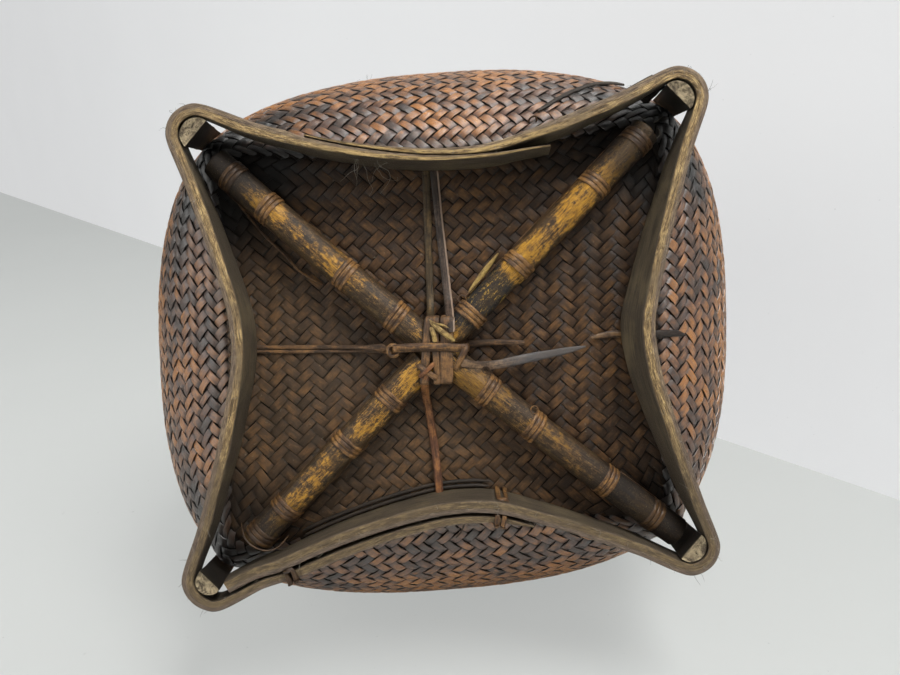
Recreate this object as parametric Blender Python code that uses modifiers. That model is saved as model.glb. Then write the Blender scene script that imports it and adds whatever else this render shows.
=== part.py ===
"""Rice basket: a plaited body on four corner posts, with a pinched foot hoop and a cross of canes.

Metres, +Z up. The origin is the centre of the foot plane, where the hoop's lower edge
stands. Front is -Y, back is +Y, left is -X and right is +X.
"""

import math

import bmesh
import bpy
from mathutils import Matrix, Vector

MILLIMETRE = 0.001

# Foot: from post to post at the foot plane, and how far the foot leans into a diamond
FOOT_WIDTH = 0.280
FOOT_DEPTH = 0.260
SKEW_SHARE = 0.024
CORNER_TRIMS = (-0.0030, -0.0024, 0.0028, -0.0002)

# Foot hoop: two overlapping bent bands, pulled in at the middle of each side
BAND_HEIGHT = 0.031
BAND_THICKNESS = 0.0072
BAND_TIP_THICKNESS = 0.0010
RIGHT_LEAN = 0.0060
CORNER_WRAP_ANGLE = math.radians(70)
SPLINT_THICKNESS = 0.0045
SPLINT_END_THICKNESS = 0.0055
SPLINT_SPREAD = 0.0007
BAND_STEP_IN = 0.0043
BAND_END_THICKNESS = 0.0052
SLIT_HEIGHT = 0.006
EDGE_CANE_HEIGHT = 0.0042
EDGE_CANE_THICKNESS = 0.0024
# How far each side stands from the middle where it is pulled in, as shares of half the foot
PINCH_SHARES = (0.7938, 0.8314, 0.7346, 0.8243)
# Places round the hoop as shares of a side, whole numbers at the corners: 0 is front left,
# 1 front right, 2 back right, 3 back left
RIGHT_BAND_TIP_SHARE = 0.22
RIGHT_BAND_START_SHARE = 2.930
RIGHT_BAND_STEP_SHARE = 2.862
LEFT_BAND_TIP_SHARE = 0.72
LEFT_BAND_END_SHARE = 2.852
LEFT_BAND_SWING_SHARE = 2.900
LAP_END_SHARE = 0.04
SWING_SHARE = 0.7
TIE_SHARES = (2.388, 2.846)
SPLINT_SHARES = (2.318, 2.840)
SPLINT_FULL_SHARE = 2.400
STRAND_SHARES = (2.413, 2.800)
EDGE_CANE_SHARES = {"front": (0.62, 0.93), "back": (2.413, 2.800), "left": (3.45, 3.72)}
SIDE_SHARES = (0.1, 0.2, 0.3, 0.4, 0.5, 0.6, 0.7, 0.8, 0.9)
# For each side: where its pinch is deepest, and how it rises to the corners before and after
PINCH_SHAPES = ((0.57, 1.9, 1.25), (0.53, 1.35, 1.2), (0.44, 1.25, 1.7), (0.55, 1.45, 1.2))

# Woven body: a flat rectangular base that swells into a nearly round wall
BASE_CLEARANCE = 0.0015
BASE_WIDTH = 0.266
BASE_DEPTH = 0.230
BODY_HEIGHT = 0.300
WALL_THICKNESS = 0.0030
SWELL_RADIUS = 0.107
SWELL_START_ANGLE = math.radians(18)
RIM_WIDTH = 0.300
RIM_DEPTH = 0.286
BASE_CORNER_POWER = 9.0
ROUND_POWER = 2.0
ROUNDING_LENGTH = 0.041

# Rim: a hoop inside and outside the wall's edge, bound on by one winding
RIM_HOOP_HEIGHT = 0.014
RIM_HOOP_THICKNESS = 0.0045
RIM_STRIP_WIDTH = 0.0040
RIM_LOOPS = 24
RIM_HOLE_WIDTH = 0.0085
RIM_END_SHARE = 0.2

# Corner posts: half-round split canes, flat side to the body
POST_WIDTHS = (0.0185, 0.0190, 0.0180, 0.0155)
POST_THICKNESS = 0.0085
POST_TOP_SHARE = 0.76
POST_RECESS = 0.0006
POST_LASHING_SHARES = (0.350, 0.5667, 0.7833)
POST_LASHING_WIDTH = 0.0030

# Cross of canes under the base
CANE_DIAMETER = 0.018
CROSS_X = -0.0042
CROSS_Y = 0.0065

# Split rattan strips: lashings and ties
STRIP_THICKNESS = 0.0007
RING_WIDTH = 0.0034
RING_PITCH = 0.0042
WRAP_WIDTH = 0.0052
WRAP_SPACING = 0.0085
CENTRE_BAND_WIDTH = 0.0052
CENTRE_BAND_LEFT_ROOM = 0.0103
CENTRE_BAND_RIGHT_ROOM = 0.0045
CENTRE_BAND_FRONT = 0.0022
FOOT_TIE_WIDTH = 0.0030
FOOT_TIE_PITCH = 0.0040
STRAND_DIAMETER = 0.0025

# Flat ties between the crossing and the hoop: width, how far each point hangs below the base,
# and the points in plan as shares of half the base
TIE_WIDTHS = {
    "tie_strip_left_front": 0.0021,
    "tie_strip_left_back": 0.0021,
    "tie_strip_front_dark": 0.0032,
    "tie_strip_front_pale": 0.0032,
    "tie_strip_back": 0.0032,
    "tie_strip_right_free": 0.0032,
    "tie_stub_right": 0.0032,
    "tie_strip_right_outer": 0.0032,
}
TIE_DROPS = {
    "tie_strip_left_front": (0.0, 0.0),
    "tie_strip_left_back": (0.0, 0.0),
    "tie_strip_front_dark": (0.0, 0.0, 0.0),
    "tie_strip_front_pale": (0.0, 0.0, 0.0),
    "tie_strip_back": (0.0040, 0.0040, 0.0022, 0.0, 0.0, 0.0),
    "tie_strip_right_free": (0.0, 0.0, 0.0014, 0.0035, 0.0062, 0.0078),
    "tie_stub_right": (0.0, 0.0, 0.0006, 0.0017, 0.0030),
    "tie_strip_right_outer": (0.0030, 0.0013, 0.0003, 0.0, 0.0, -0.0042),
}
TIE_POINT_SHARES = {
    "tie_strip_left_front": ((-0.9136, -0.0061), (-0.1504, 0.0313)),
    "tie_strip_left_back": ((-0.9136, 0.0165), (-0.1504, 0.0539)),
    "tie_strip_front_dark": ((0.0098, -0.9696), (0.0294, -0.0687), (0.0316, 0.0087)),
    "tie_strip_front_pale": ((-0.0316, -0.9696), (-0.0496, -0.0991), (-0.0512, 0.0087)),
    "tie_strip_back": (
        (-0.0519, 0.7930), (-0.0548, 0.7391), (-0.0594, 0.6609),
        (-0.0646, 0.5652), (-0.0887, 0.1670), (-0.0917, 0.1305)),
    "tie_strip_right_free": (
        (0.0452, 0.1305), (0.1654, 0.1201), (0.2706, 0.1121),
        (0.3759, 0.1043), (0.5263, 0.0904), (0.6399, 0.0826)),
    "tie_stub_right": (
        (0.0564, 0.0391), (0.1504, 0.0409), (0.2256, 0.0435),
        (0.3007, 0.0443), (0.3548, 0.0443)),
    "tie_strip_right_outer": (
        (0.6782, 0.0130), (0.7218, 0.0191), (0.7669, 0.0261),
        (0.8113, 0.0313), (1.0038, 0.0452), (1.0842, 0.0435)),
}
# Loose strip against the front wall: plan x and height
WALL_STRIP_ROUTE = ((0.0623, 0.0400), (0.0800, 0.0470), (0.0980, 0.0550), (0.1120, 0.0612),
                    (0.1225, 0.0660))
WALL_STRIP_WIDTH = 0.0030
WALL_STRIP_CLEARANCE = 0.0018

# Clearances between pieces that touch on the real basket
FIT_GAP = 0.0003
LAYER_GAP = 0.0005

half_foot_width = FOOT_WIDTH / 2
half_foot_depth = FOOT_DEPTH / 2
pinch_front = PINCH_SHARES[0] * half_foot_depth
pinch_right = PINCH_SHARES[1] * half_foot_width
pinch_back = PINCH_SHARES[2] * half_foot_depth
pinch_left = PINCH_SHARES[3] * half_foot_width

CORNERS = ("front_left", "front_right", "back_right", "back_left")
CORNER_SIGNS = ((-1, -1), (1, -1), (1, 1), (-1, 1))
SIDE_OUTWARD = ((0, -1), (1, 0), (0, 1), (-1, 0))

# Where each arm of the cross ends, as shares of half the foot
ARM_END_SHARES = {
    "front_left": (-0.9108, -0.8502),
    "back_right": (0.956, 0.9505),
    "front_right": (0.8953, -0.889),
    "back_left": (-0.85, 0.8851),
}
# Lashings as shares of their arm; rings grouped together are made by one strip
RING_SHARES = {
    "front_left": ((0.18,), (0.41,), (0.76, 0.92)),
    "back_right": ((0.215,), (0.405,), (0.71, 0.90)),
    "front_right": ((0.168, 0.396, 0.758, 0.955),),
    "back_left": ((0.252,), (0.4875,), (0.8195,), (0.955,)),
}

BODY_SEGMENTS = 56
SWELL_ROWS = 7
UPPER_ROWS = 8
CANE_POINTS = 9
CORNER_STATIONS = 9
SIDE_STATIONS = 21
RING_TURNS = 2
TURN_POINTS = 12
RUN_STEPS = 5

base_z = BAND_HEIGHT + BASE_CLEARANCE
strand_z = BAND_HEIGHT - STRAND_DIAMETER / 2
tie_z = base_z - FIT_GAP - STRIP_THICKNESS / 2
cane_drop = 2 * STRIP_THICKNESS + 3 * FIT_GAP
cane_radius = CANE_DIAMETER / 2
cane_z = base_z - cane_drop - cane_radius
rim_bottom_z = BODY_HEIGHT - RIM_HOOP_HEIGHT
post_top_z = rim_bottom_z - STRIP_THICKNESS - 2 * FIT_GAP
post_clearance = STRIP_THICKNESS + 2 * LAYER_GAP + FIT_GAP
crossing = Vector((CROSS_X, CROSS_Y, cane_z))
arm_ends = {arm: Vector((x * half_foot_width, y * half_foot_depth, cane_z))
            for arm, (x, y) in ARM_END_SHARES.items()}
arm_reaches = {arm: (end - crossing).length for arm, end in arm_ends.items()}

COLOURS = {
    "weave": ((0.16, 0.095, 0.05), 0.55),
    "hoop": ((0.42, 0.33, 0.19), 0.7),
    "post": ((0.33, 0.27, 0.18), 0.65),
    "cane": ((0.30, 0.19, 0.07), 0.35),
    "rattan": ((0.27, 0.17, 0.08), 0.45),
    "dark_strip": ((0.09, 0.065, 0.045), 0.5),
}


def clear_scene():
    for scene_object in list(bpy.data.objects):
        bpy.data.objects.remove(scene_object, do_unlink=True)


def make_collection(name):
    collection = bpy.data.collections.new(name)
    bpy.context.scene.collection.children.link(collection)
    return collection


clear_scene()
basket_collection = make_collection("rice_basket")
cutter_collection = make_collection("cutters")


def material_for(name, finish):
    """A Principled material with the finish's colour and roughness."""
    colour, roughness = COLOURS[finish]
    material = bpy.data.materials.new(name)
    material.use_nodes = True
    shader = material.node_tree.nodes["Principled BSDF"]
    shader.inputs["Base Color"].default_value = (*colour, 1.0)
    shader.inputs["Roughness"].default_value = roughness
    shader.inputs["Metallic"].default_value = 0.0
    material.diffuse_color = (*colour, 1.0)
    return material


def object_from_mesh(name, mesh, finish):
    mesh.materials.append(material_for(name, finish))
    made = bpy.data.objects.new(name, mesh)
    basket_collection.objects.link(made)
    return made


def object_from_bmesh(name, shape, finish, smooth=True):
    bmesh.ops.recalc_face_normals(shape, faces=shape.faces)
    mesh = bpy.data.meshes.new(name)
    shape.to_mesh(mesh)
    shape.free()
    if smooth:
        mesh.shade_smooth()
        mesh.set_sharp_from_angle(angle=math.radians(40))
    return object_from_mesh(name, mesh, finish)


def object_from_curve(name, curve, finish):
    """Turns a bevelled or extruded curve into one welded mesh object."""
    holder = bpy.data.objects.new(name + "_curve", curve)
    basket_collection.objects.link(holder)
    bpy.context.view_layer.update()
    evaluated = holder.evaluated_get(bpy.context.evaluated_depsgraph_get())
    mesh = bpy.data.meshes.new_from_object(evaluated)
    place = holder.matrix_world.copy()
    bpy.data.objects.remove(holder, do_unlink=True)
    shape = bmesh.new()
    shape.from_mesh(mesh)
    bmesh.ops.remove_doubles(shape, verts=shape.verts, dist=FIT_GAP / 30)
    shape.to_mesh(mesh)
    shape.free()
    mesh.materials.clear()
    made = object_from_mesh(name, mesh, finish)
    made.matrix_world = place
    return made


def add_loft(shape, rings):
    """Adds a closed solid through rings of points, with a flat cap at each end."""
    columns = [[shape.verts.new(point) for point in ring] for ring in rings]
    count = len(columns[0])
    for near, far in zip(columns, columns[1:]):
        for index in range(count):
            following = (index + 1) % count
            shape.faces.new((near[index], near[following], far[following], far[index]))
    shape.faces.new(columns[0])
    shape.faces.new(list(reversed(columns[-1])))


def add_strip(shape, points, normals, width, thickness):
    """Adds a flat strip along points; each normal is the way that its broad face looks."""
    rings = []
    last = len(points) - 1
    for index, point in enumerate(points):
        tangent = (points[min(index + 1, last)] - points[max(index - 1, 0)]).normalized()
        across = tangent.cross(normals[index]).normalized()
        facing = across.cross(tangent).normalized()
        side = across * (width / 2)
        rise = facing * (thickness / 2)
        rings.append([point - side - rise, point + side - rise, point + side + rise, point - side + rise])
    add_loft(shape, rings)


def tube_curve(name, route, diameter, resolution):
    """A round tube along a route of points."""
    curve = bpy.data.curves.new(name, "CURVE")
    curve.dimensions = "3D"
    curve.bevel_depth = diameter / 2
    curve.bevel_resolution = resolution
    curve.use_fill_caps = True
    spline = curve.splines.new("POLY")
    spline.points.add(len(route) - 1)
    for place, point in zip(spline.points, route):
        place.co = (*point, 1.0)
    return curve


def make_cutter(name, boxes):
    """A hidden object of boxes to cut with; each is a place, a turn about Z and a size."""
    shape = bmesh.new()
    for place, turn, size in boxes:
        matrix = Matrix.Translation(place) @ Matrix.Rotation(turn, 4, "Z")
        bmesh.ops.create_cube(shape, size=1.0, matrix=matrix @ Matrix.Diagonal((*size, 1.0)))
    mesh = bpy.data.meshes.new(name)
    shape.to_mesh(mesh)
    shape.free()
    cutter = bpy.data.objects.new(name, mesh)
    cutter.hide_render = True
    cutter.display_type = "WIRE"
    cutter_collection.objects.link(cutter)
    return cutter


def cut(target, cutter):
    """Takes the cutter's boxes out of the target."""
    modifier = target.modifiers.new(cutter.name, "BOOLEAN")
    modifier.operation = "DIFFERENCE"
    modifier.solver = "EXACT"
    modifier.object = cutter


def add_winding(shape, name, points, normals, width, turn_points):
    """Adds one unbroken winding of strip, and prints the least gap between its turns."""
    add_strip(shape, points, normals, width, STRIP_THICKNESS)
    least = min((points[i] - points[j]).length
                for i in range(len(points)) for j in range(i + turn_points, len(points)))
    print(f"{name}: least gap to itself {(least - width) / MILLIMETRE:.2f} mm")


def box_loop(low_u, high_u, low_v, high_v, bend_u, bend_v):
    """Eight places round a box with cut corners: up the low side first."""
    return [(low_u, low_v + bend_v), (low_u, high_v - bend_v), (low_u + bend_u, high_v),
            (high_u - bend_u, high_v), (high_u, high_v - bend_v), (high_u, low_v + bend_v),
            (high_u - bend_u, low_v), (low_u + bend_u, low_v)]


def add_loop_winding(shape, name, loop, turns, place, width):
    """Winds a strip round a flat loop of places; place turns (turn, u, v) into a point."""
    points, normals = [], []
    count = len(loop)
    for index in range(turns * count):
        turn = index / count
        u, v = loop[index % count]
        before, after = loop[(index - 1) % count], loop[(index + 1) % count]
        ahead = Vector((after[0] - before[0], after[1] - before[1])).normalized()
        point = place(turn, u, v)
        outside = place(turn, u - ahead.y * FIT_GAP, v + ahead.x * FIT_GAP)
        points.append(point)
        normals.append((outside - point).normalized())
    add_winding(shape, name, points, normals, width, count)


# Plan shapes of the body

def skew(x, y):
    """Leans a plan point into the foot's slight diamond."""
    slant = SKEW_SHARE * FOOT_WIDTH / FOOT_DEPTH
    counter = SKEW_SHARE * FOOT_DEPTH / FOOT_WIDTH
    return Vector((x - slant * y, y - counter * x))


def plan_point(angle, half_width, half_depth, power):
    """A point of the skewed superellipse, found along its unskewed angle."""
    across, along = math.cos(angle), math.sin(angle)
    radius = (abs(across / half_width) ** power + abs(along / half_depth) ** power) ** (-1 / power)
    return skew(radius * across, radius * along)


def body_rows():
    """The wall's rows from the base edge to the rim: height, half width, half depth, power."""
    rows = []
    end_angle = math.pi / 2
    for row in range(SWELL_ROWS + 1):
        slope = SWELL_START_ANGLE + (end_angle - SWELL_START_ANGLE) * row / SWELL_ROWS
        swell = SWELL_RADIUS * (math.sin(slope) - math.sin(SWELL_START_ANGLE))
        height = base_z + SWELL_RADIUS * (math.cos(SWELL_START_ANGLE) - math.cos(slope))
        length = SWELL_RADIUS * (slope - SWELL_START_ANGLE)
        rows.append((height, BASE_WIDTH / 2 + swell, BASE_DEPTH / 2 + swell, corner_power(length)))
    belly_z, belly_width, belly_depth, _ = rows[-1]
    neck_z = rim_bottom_z - 2 * RIM_STRIP_WIDTH
    for row in range(1, UPPER_ROWS + 1):
        share = row / UPPER_ROWS
        ease = share * share
        height = belly_z + (neck_z - belly_z) * share
        length = SWELL_RADIUS * (end_angle - SWELL_START_ANGLE) + height - belly_z
        rows.append((height, belly_width + (RIM_WIDTH / 2 - belly_width) * ease,
                     belly_depth + (RIM_DEPTH / 2 - belly_depth) * ease, corner_power(length)))
    rows.append((BODY_HEIGHT, RIM_WIDTH / 2, RIM_DEPTH / 2, rows[-1][3]))
    return rows


def corner_power(length):
    """The superellipse power at a length up the wall: square at the base, round above."""
    return ROUND_POWER + (BASE_CORNER_POWER - ROUND_POWER) * math.exp(-length / ROUNDING_LENGTH)


wall_rows = body_rows()


def wall_row_at(height):
    """The wall's half width, half depth and power at a height, as the flat facets have it."""
    for low, high in zip(wall_rows, wall_rows[1:]):
        if height <= high[0]:
            share = max(0.0, (height - low[0]) / (high[0] - low[0]))
            return tuple(a + (b - a) * share for a, b in zip(low[1:], high[1:]))
    return wall_rows[-1][1:]


# Corner posts

def corner_direction(corner):
    sign_x, sign_y = CORNER_SIGNS[corner]
    return skew(sign_x * half_foot_width, sign_y * half_foot_depth).normalized()


def wall_reach(corner, row):
    """How far the wall reaches towards a corner, over the width of the post."""
    direction = corner_direction(corner)
    side = Vector((-direction.y, direction.x))
    middle = math.atan2(direction.y, direction.x)
    reach = 0.0
    steps = 24
    for step in range(-steps, steps + 1):
        point = plan_point(middle + step * math.radians(0.5), *row)
        if abs(point.dot(side)) <= POST_WIDTHS[corner] / 2 + LAYER_GAP:
            reach = max(reach, point.dot(direction))
    return reach


def post_line(corner):
    """Heights and radii of a post's flat face: straight from the foot, then along the wall."""
    sign_x, sign_y = CORNER_SIGNS[corner]
    foot = skew(sign_x * half_foot_width, sign_y * half_foot_depth).length
    foot += CORNER_TRIMS[corner] - POST_THICKNESS / 2
    touches = [(row[0], wall_reach(corner, row[1:]) + post_clearance) for row in wall_rows
               if row[0] < post_top_z]
    touches.append((post_top_z, wall_reach(corner, wall_row_at(post_top_z)) + post_clearance))
    slopes = [(radius - foot) / height for height, radius in touches]
    first = slopes.index(max(slopes))
    return [(0.0, foot)] + touches[first:]


post_lines = [post_line(corner) for corner in range(len(CORNERS))]


def post_radius(corner, height):
    line = post_lines[corner]
    for low, high in zip(line, line[1:]):
        if height <= high[0]:
            return low[1] + (high[1] - low[1]) * (height - low[0]) / (high[0] - low[0])
    return line[-1][1]


def post_slope(corner, height):
    """How far a post leans outward for each unit that it rises, measured about a height."""
    reach = POST_LASHING_WIDTH / 2
    return (post_radius(corner, height + reach) - post_radius(corner, height - reach)) / (2 * reach)


def post_size(corner, height):
    """Width and thickness of a post, which thins towards its top."""
    share = 1 + (POST_TOP_SHARE - 1) * height / post_top_z
    return POST_WIDTHS[corner] * share, POST_THICKNESS * share


def post_point(corner, height, across, outward):
    """A point beside a post: across its flat face, and outward from it."""
    direction = corner_direction(corner)
    flat = direction * (post_radius(corner, height) + outward)
    return Vector((flat.x - direction.y * across, flat.y + direction.x * across, height))


def make_post(corner):
    shape = bmesh.new()
    rings = []
    heights = [POST_RECESS] + [height for height, _ in post_lines[corner][1:]]
    arc_steps = 8
    for height in heights:
        width, thickness = post_size(corner, height)
        angles = [math.pi * step / arc_steps for step in range(arc_steps + 1)]
        rings.append([post_point(corner, height, width / 2 * math.cos(angle), thickness * math.sin(angle))
                      for angle in angles])
    add_loft(shape, rings)
    return object_from_bmesh("corner_post_" + CORNERS[corner], shape, "post")


def make_post_lashing(corner):
    """One strip that binds a post to the wall: two turns, a run up behind the post, two turns."""
    pitch = POST_LASHING_WIDTH + 2 * LAYER_GAP
    inner = -LAYER_GAP - STRIP_THICKNESS / 2
    arc_steps = 6
    route = []
    for share in POST_LASHING_SHARES:
        centre_height = share * BODY_HEIGHT
        width, thickness = post_size(corner, centre_height)
        stand_off = (width / 2 + FIT_GAP) / math.cos(math.pi / arc_steps / 2) - width / 2
        stand_off += STRIP_THICKNESS / 2
        turns = [(0, inner, 0, -1), (width / 2, inner, 0.5, -1)]
        for step in range(arc_steps + 1):
            across, out = math.cos(math.pi * step / arc_steps), math.sin(math.pi * step / arc_steps)
            turns.append((across * (width / 2 + stand_off), out * (thickness + stand_off), across, out))
        turns.append((-width / 2, inner, -0.5, -1))
        first = centre_height - pitch * RING_TURNS / 2
        if route:
            below = route[-1][0]
            route += [(height, 0, inner, 0, -1) for height, _ in post_lines[corner]
                      if below + pitch / 2 < height < first - pitch / 2]
        for index in range(RING_TURNS * len(turns) + 1):
            route.append((first + pitch * index / len(turns), *turns[index % len(turns)]))
    direction = corner_direction(corner)
    side = Vector((-direction.y, direction.x, 0))
    outward = Vector((direction.x, direction.y, 0))
    points = [post_point(corner, height, across, out) for height, across, out, _, _ in route]
    rise = Vector((0, 0, 1))
    normals = [(side * facing_across + (outward - rise * post_slope(corner, height)) * facing_out).normalized()
               for height, _, _, facing_across, facing_out in route]
    shape = bmesh.new()
    add_winding(shape, "post lashing", points, normals, POST_LASHING_WIDTH, len(turns))
    return object_from_bmesh("post_lashing_" + CORNERS[corner], shape, "rattan", smooth=False)


# Woven body

def make_body():
    """The plaited shell: flat base, swelling wall, open mouth, and holes for the rim winding."""
    shape = bmesh.new()
    angles = [2 * math.pi * segment / BODY_SEGMENTS for segment in range(BODY_SEGMENTS)]
    base_row = wall_rows[0]
    middle = shape.verts.new((0, 0, base_z))
    rings = []
    for share in (0.5, 1.0):
        ring = [plan_point(angle, *base_row[1:]) * share for angle in angles]
        rings.append([shape.verts.new((point.x, point.y, base_z)) for point in ring])
    for height, half_width, half_depth, power in wall_rows[1:]:
        ring = [plan_point(angle, half_width, half_depth, power) for angle in angles]
        rings.append([shape.verts.new((point.x, point.y, height)) for point in ring])
    for index in range(BODY_SEGMENTS):
        following = (index + 1) % BODY_SEGMENTS
        shape.faces.new((middle, rings[0][following], rings[0][index]))
        for low, high in zip(rings, rings[1:]):
            shape.faces.new((low[index], low[following], high[following], high[index]))
    mesh = bpy.data.meshes.new("woven_body")
    shape.to_mesh(mesh)
    shape.free()
    mesh.shade_smooth()
    body = object_from_mesh("woven_body", mesh, "weave")
    wall = body.modifiers.new("wall", "SOLIDIFY")
    wall.thickness = WALL_THICKNESS
    wall.offset = -1
    wall.use_even_offset = True
    cut(body, make_hole_cutter())
    return body


def rim_point(angle, outward, height):
    """A point beside the rim: outward from the wall's outer face."""
    point = plan_point(angle, RIM_WIDTH / 2 + outward, RIM_DEPTH / 2 + outward, wall_rows[-1][3])
    return Vector((point.x, point.y, height))


rim_step = 2 * math.pi / (RIM_LOOPS + RIM_END_SHARE)
strip_stand_off = FIT_GAP + STRIP_THICKNESS / 2
rim_run_z = rim_bottom_z - strip_stand_off


def make_hole_cutter():
    """One box for each place where the rim winding passes through the wall."""
    size = (4 * WALL_THICKNESS, RIM_HOLE_WIDTH, STRIP_THICKNESS + 2 * LAYER_GAP)
    boxes = []
    for hole in range(RIM_LOOPS):
        place = rim_point(rim_step * (hole + 1), -WALL_THICKNESS / 2, rim_run_z)
        boxes.append((place, math.atan2(place.y, place.x), size))
    return make_cutter("winding_hole_cutter", boxes)


# Rim

def make_rim_hoop(name, inner, outer):
    """A flat hoop round the mouth, between two distances from the wall's outer face."""
    curve = bpy.data.curves.new(name, "CURVE")
    curve.dimensions = "2D"
    curve.fill_mode = "BOTH"
    curve.extrude = RIM_HOOP_HEIGHT / 2
    for outward in (outer, inner):
        spline = curve.splines.new("POLY")
        spline.points.add(BODY_SEGMENTS - 1)
        spline.use_cyclic_u = True
        for segment, place in enumerate(spline.points):
            point = rim_point(2 * math.pi * segment / BODY_SEGMENTS, outward, 0)
            place.co = (point.x, point.y, 0, 1.0)
    hoop = object_from_curve(name, curve, "hoop")
    hoop.location.z = BODY_HEIGHT - RIM_HOOP_HEIGHT / 2
    return hoop


def make_rim_winding():
    """One strip wound round both hoops, through the wall under them."""
    shape = bmesh.new()
    outer = LAYER_GAP + RIM_HOOP_THICKNESS + strip_stand_off
    inner = -WALL_THICKNESS - LAYER_GAP - RIM_HOOP_THICKNESS - strip_stand_off - LAYER_GAP
    loop = box_loop(inner, outer, rim_run_z, BODY_HEIGHT + strip_stand_off,
                    strip_stand_off / 2, strip_stand_off / 2)

    def place(turn, u, v):
        whole = math.floor(turn)
        advance = whole if turn == whole else whole + 1
        return rim_point(rim_step * advance, u, v)

    add_loop_winding(shape, "rim winding", loop, RIM_LOOPS, place, RIM_STRIP_WIDTH)
    return object_from_bmesh("rim_winding", shape, "rattan", smooth=False)


# Foot hoop

def corner_face(corner, height):
    """Middle of a post's flat face in plan."""
    return corner_direction(corner) * post_radius(corner, height)


def wrap_radius(corner):
    return max(POST_WIDTHS[corner] / 2, POST_THICKNESS) + LAYER_GAP + BAND_THICKNESS / 2


side_length = (corner_face(1, 0.0) - corner_face(0, 0.0)).length


def hoop_knots(height, pinches):
    """Stations and plan points of the hoop's middle line; corner n has station n."""
    knots = []
    for corner in range(len(CORNERS)):
        start = corner_face(corner, height)
        end = corner_face((corner + 1) % len(CORNERS), height)
        direction = corner_direction(corner)
        radius = wrap_radius(corner)
        for step in (-1, -0.5, 0, 0.5, 1):
            turn = step * CORNER_WRAP_ANGLE
            turned = Vector((direction.x * math.cos(turn) - direction.y * math.sin(turn),
                             direction.x * math.sin(turn) + direction.y * math.cos(turn)))
            knots.append((corner + turn * radius / side_length, start + turned * radius))
        outward = Vector(SIDE_OUTWARD[corner])
        next_radius = wrap_radius((corner + 1) % len(CORNERS))
        peak, before, after = PINCH_SHAPES[corner]
        depth = ((start + end) / 2).dot(outward) + radius + (next_radius - radius) * peak - pinches[corner]
        for share in SIDE_SHARES:
            rise = (share - peak) / (1 - peak) if share > peak else (peak - share) / peak
            pull = 1 - rise ** (after if share > peak else before)
            offset = radius + (next_radius - radius) * share - depth * pull
            knots.append((corner + share, start + (end - start) * share + outward * offset))
    return knots


pinch_tops = (pinch_front, pinch_right - RIGHT_LEAN, pinch_back, pinch_left)
foot_knots = hoop_knots(0.0, (pinch_front, pinch_right, pinch_back, pinch_left))
top_knots = hoop_knots(BAND_HEIGHT, pinch_tops)


def smooth_point(knots, station):
    """A point and a tangent on a smooth closed line through the knots."""
    count = len(knots)
    laps = len(CORNERS)

    def knot(index):
        lap, place = divmod(index, count)
        return knots[place][0] + lap * laps, knots[place][1]

    index = 0
    while knot(index + 1)[0] <= station:
        index += 1
    while knot(index)[0] > station:
        index -= 1
    (s0, p0), (s1, p1), (s2, p2), (s3, p3) = (knot(index + k) for k in (-1, 0, 1, 2))
    step = s2 - s1
    share = (station - s1) / step
    leave = (p2 - p0) * (step / (s2 - s0))
    arrive = (p3 - p1) * (step / (s3 - s1))
    a, b = 2 * share ** 3 - 3 * share ** 2 + 1, share ** 3 - 2 * share ** 2 + share
    c, d = -2 * share ** 3 + 3 * share ** 2, share ** 3 - share ** 2
    slope = ((6 * share ** 2 - 6 * share) * (p1 - p2) + (3 * share ** 2 - 4 * share + 1) * leave
             + (3 * share ** 2 - 2 * share) * arrive)
    return p1 * a + leave * b + p2 * c + arrive * d, slope.normalized()


def hoop_point(station, height, outward):
    """A point beside the hoop's middle line, at a height and a distance outward."""
    sides = []
    for knots in (foot_knots, top_knots):
        point, tangent = smooth_point(knots, station)
        sides.append(point + Vector((tangent.y, -tangent.x)) * outward)
    point = sides[0].lerp(sides[1], height / BAND_HEIGHT)
    return Vector((point.x, point.y, height))


def hoop_stations():
    """Stations where the bands have an edge: close together at the corners."""
    stations = []
    for corner in range(2 * len(CORNERS)):
        corner_span = 1.25 * CORNER_WRAP_ANGLE * wrap_radius(corner % len(CORNERS)) / side_length
        stations += [corner + corner_span * (2 * step / (CORNER_STATIONS - 1) - 1)
                     for step in range(CORNER_STATIONS)]
        stations += [corner + corner_span + (1 - 2 * corner_span) * step / (SIDE_STATIONS + 1)
                     for step in range(1, SIDE_STATIONS + 1)]
    return stations


all_stations = hoop_stations()


def along(table, station):
    """Reads a table of (station, value) pairs, in straight lines between them."""
    if station <= table[0][0]:
        return table[0][1]
    for low, high in zip(table, table[1:]):
        if station <= high[0]:
            return low[1] + (high[1] - low[1]) * (station - low[0]) / (high[0] - low[0])
    return table[-1][1]


notch_depth = 2 * FIT_GAP + STRIP_THICKNESS
notch_reach = (FOOT_TIE_WIDTH / 2 + FOOT_TIE_PITCH * RING_TURNS / 2 + 2 * LAYER_GAP) / side_length
notch_edge = LAYER_GAP / side_length
band_half = BAND_THICKNESS / 2
splint_clear = band_half + 2 * strip_stand_off + LAYER_GAP / 2


def notch_stations():
    """Stations at the edges of the notches that let the ties pass under the hoop."""
    edges = (-notch_reach - notch_edge, -notch_reach, notch_reach, notch_reach + notch_edge)
    return [tie + edge for tie in TIE_SHARES for edge in edges]


def notch_at(station):
    near_tie = any(abs(station - tie) < notch_reach + notch_edge / 2 for tie in TIE_SHARES)
    return notch_depth if near_tie else 0.0


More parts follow.
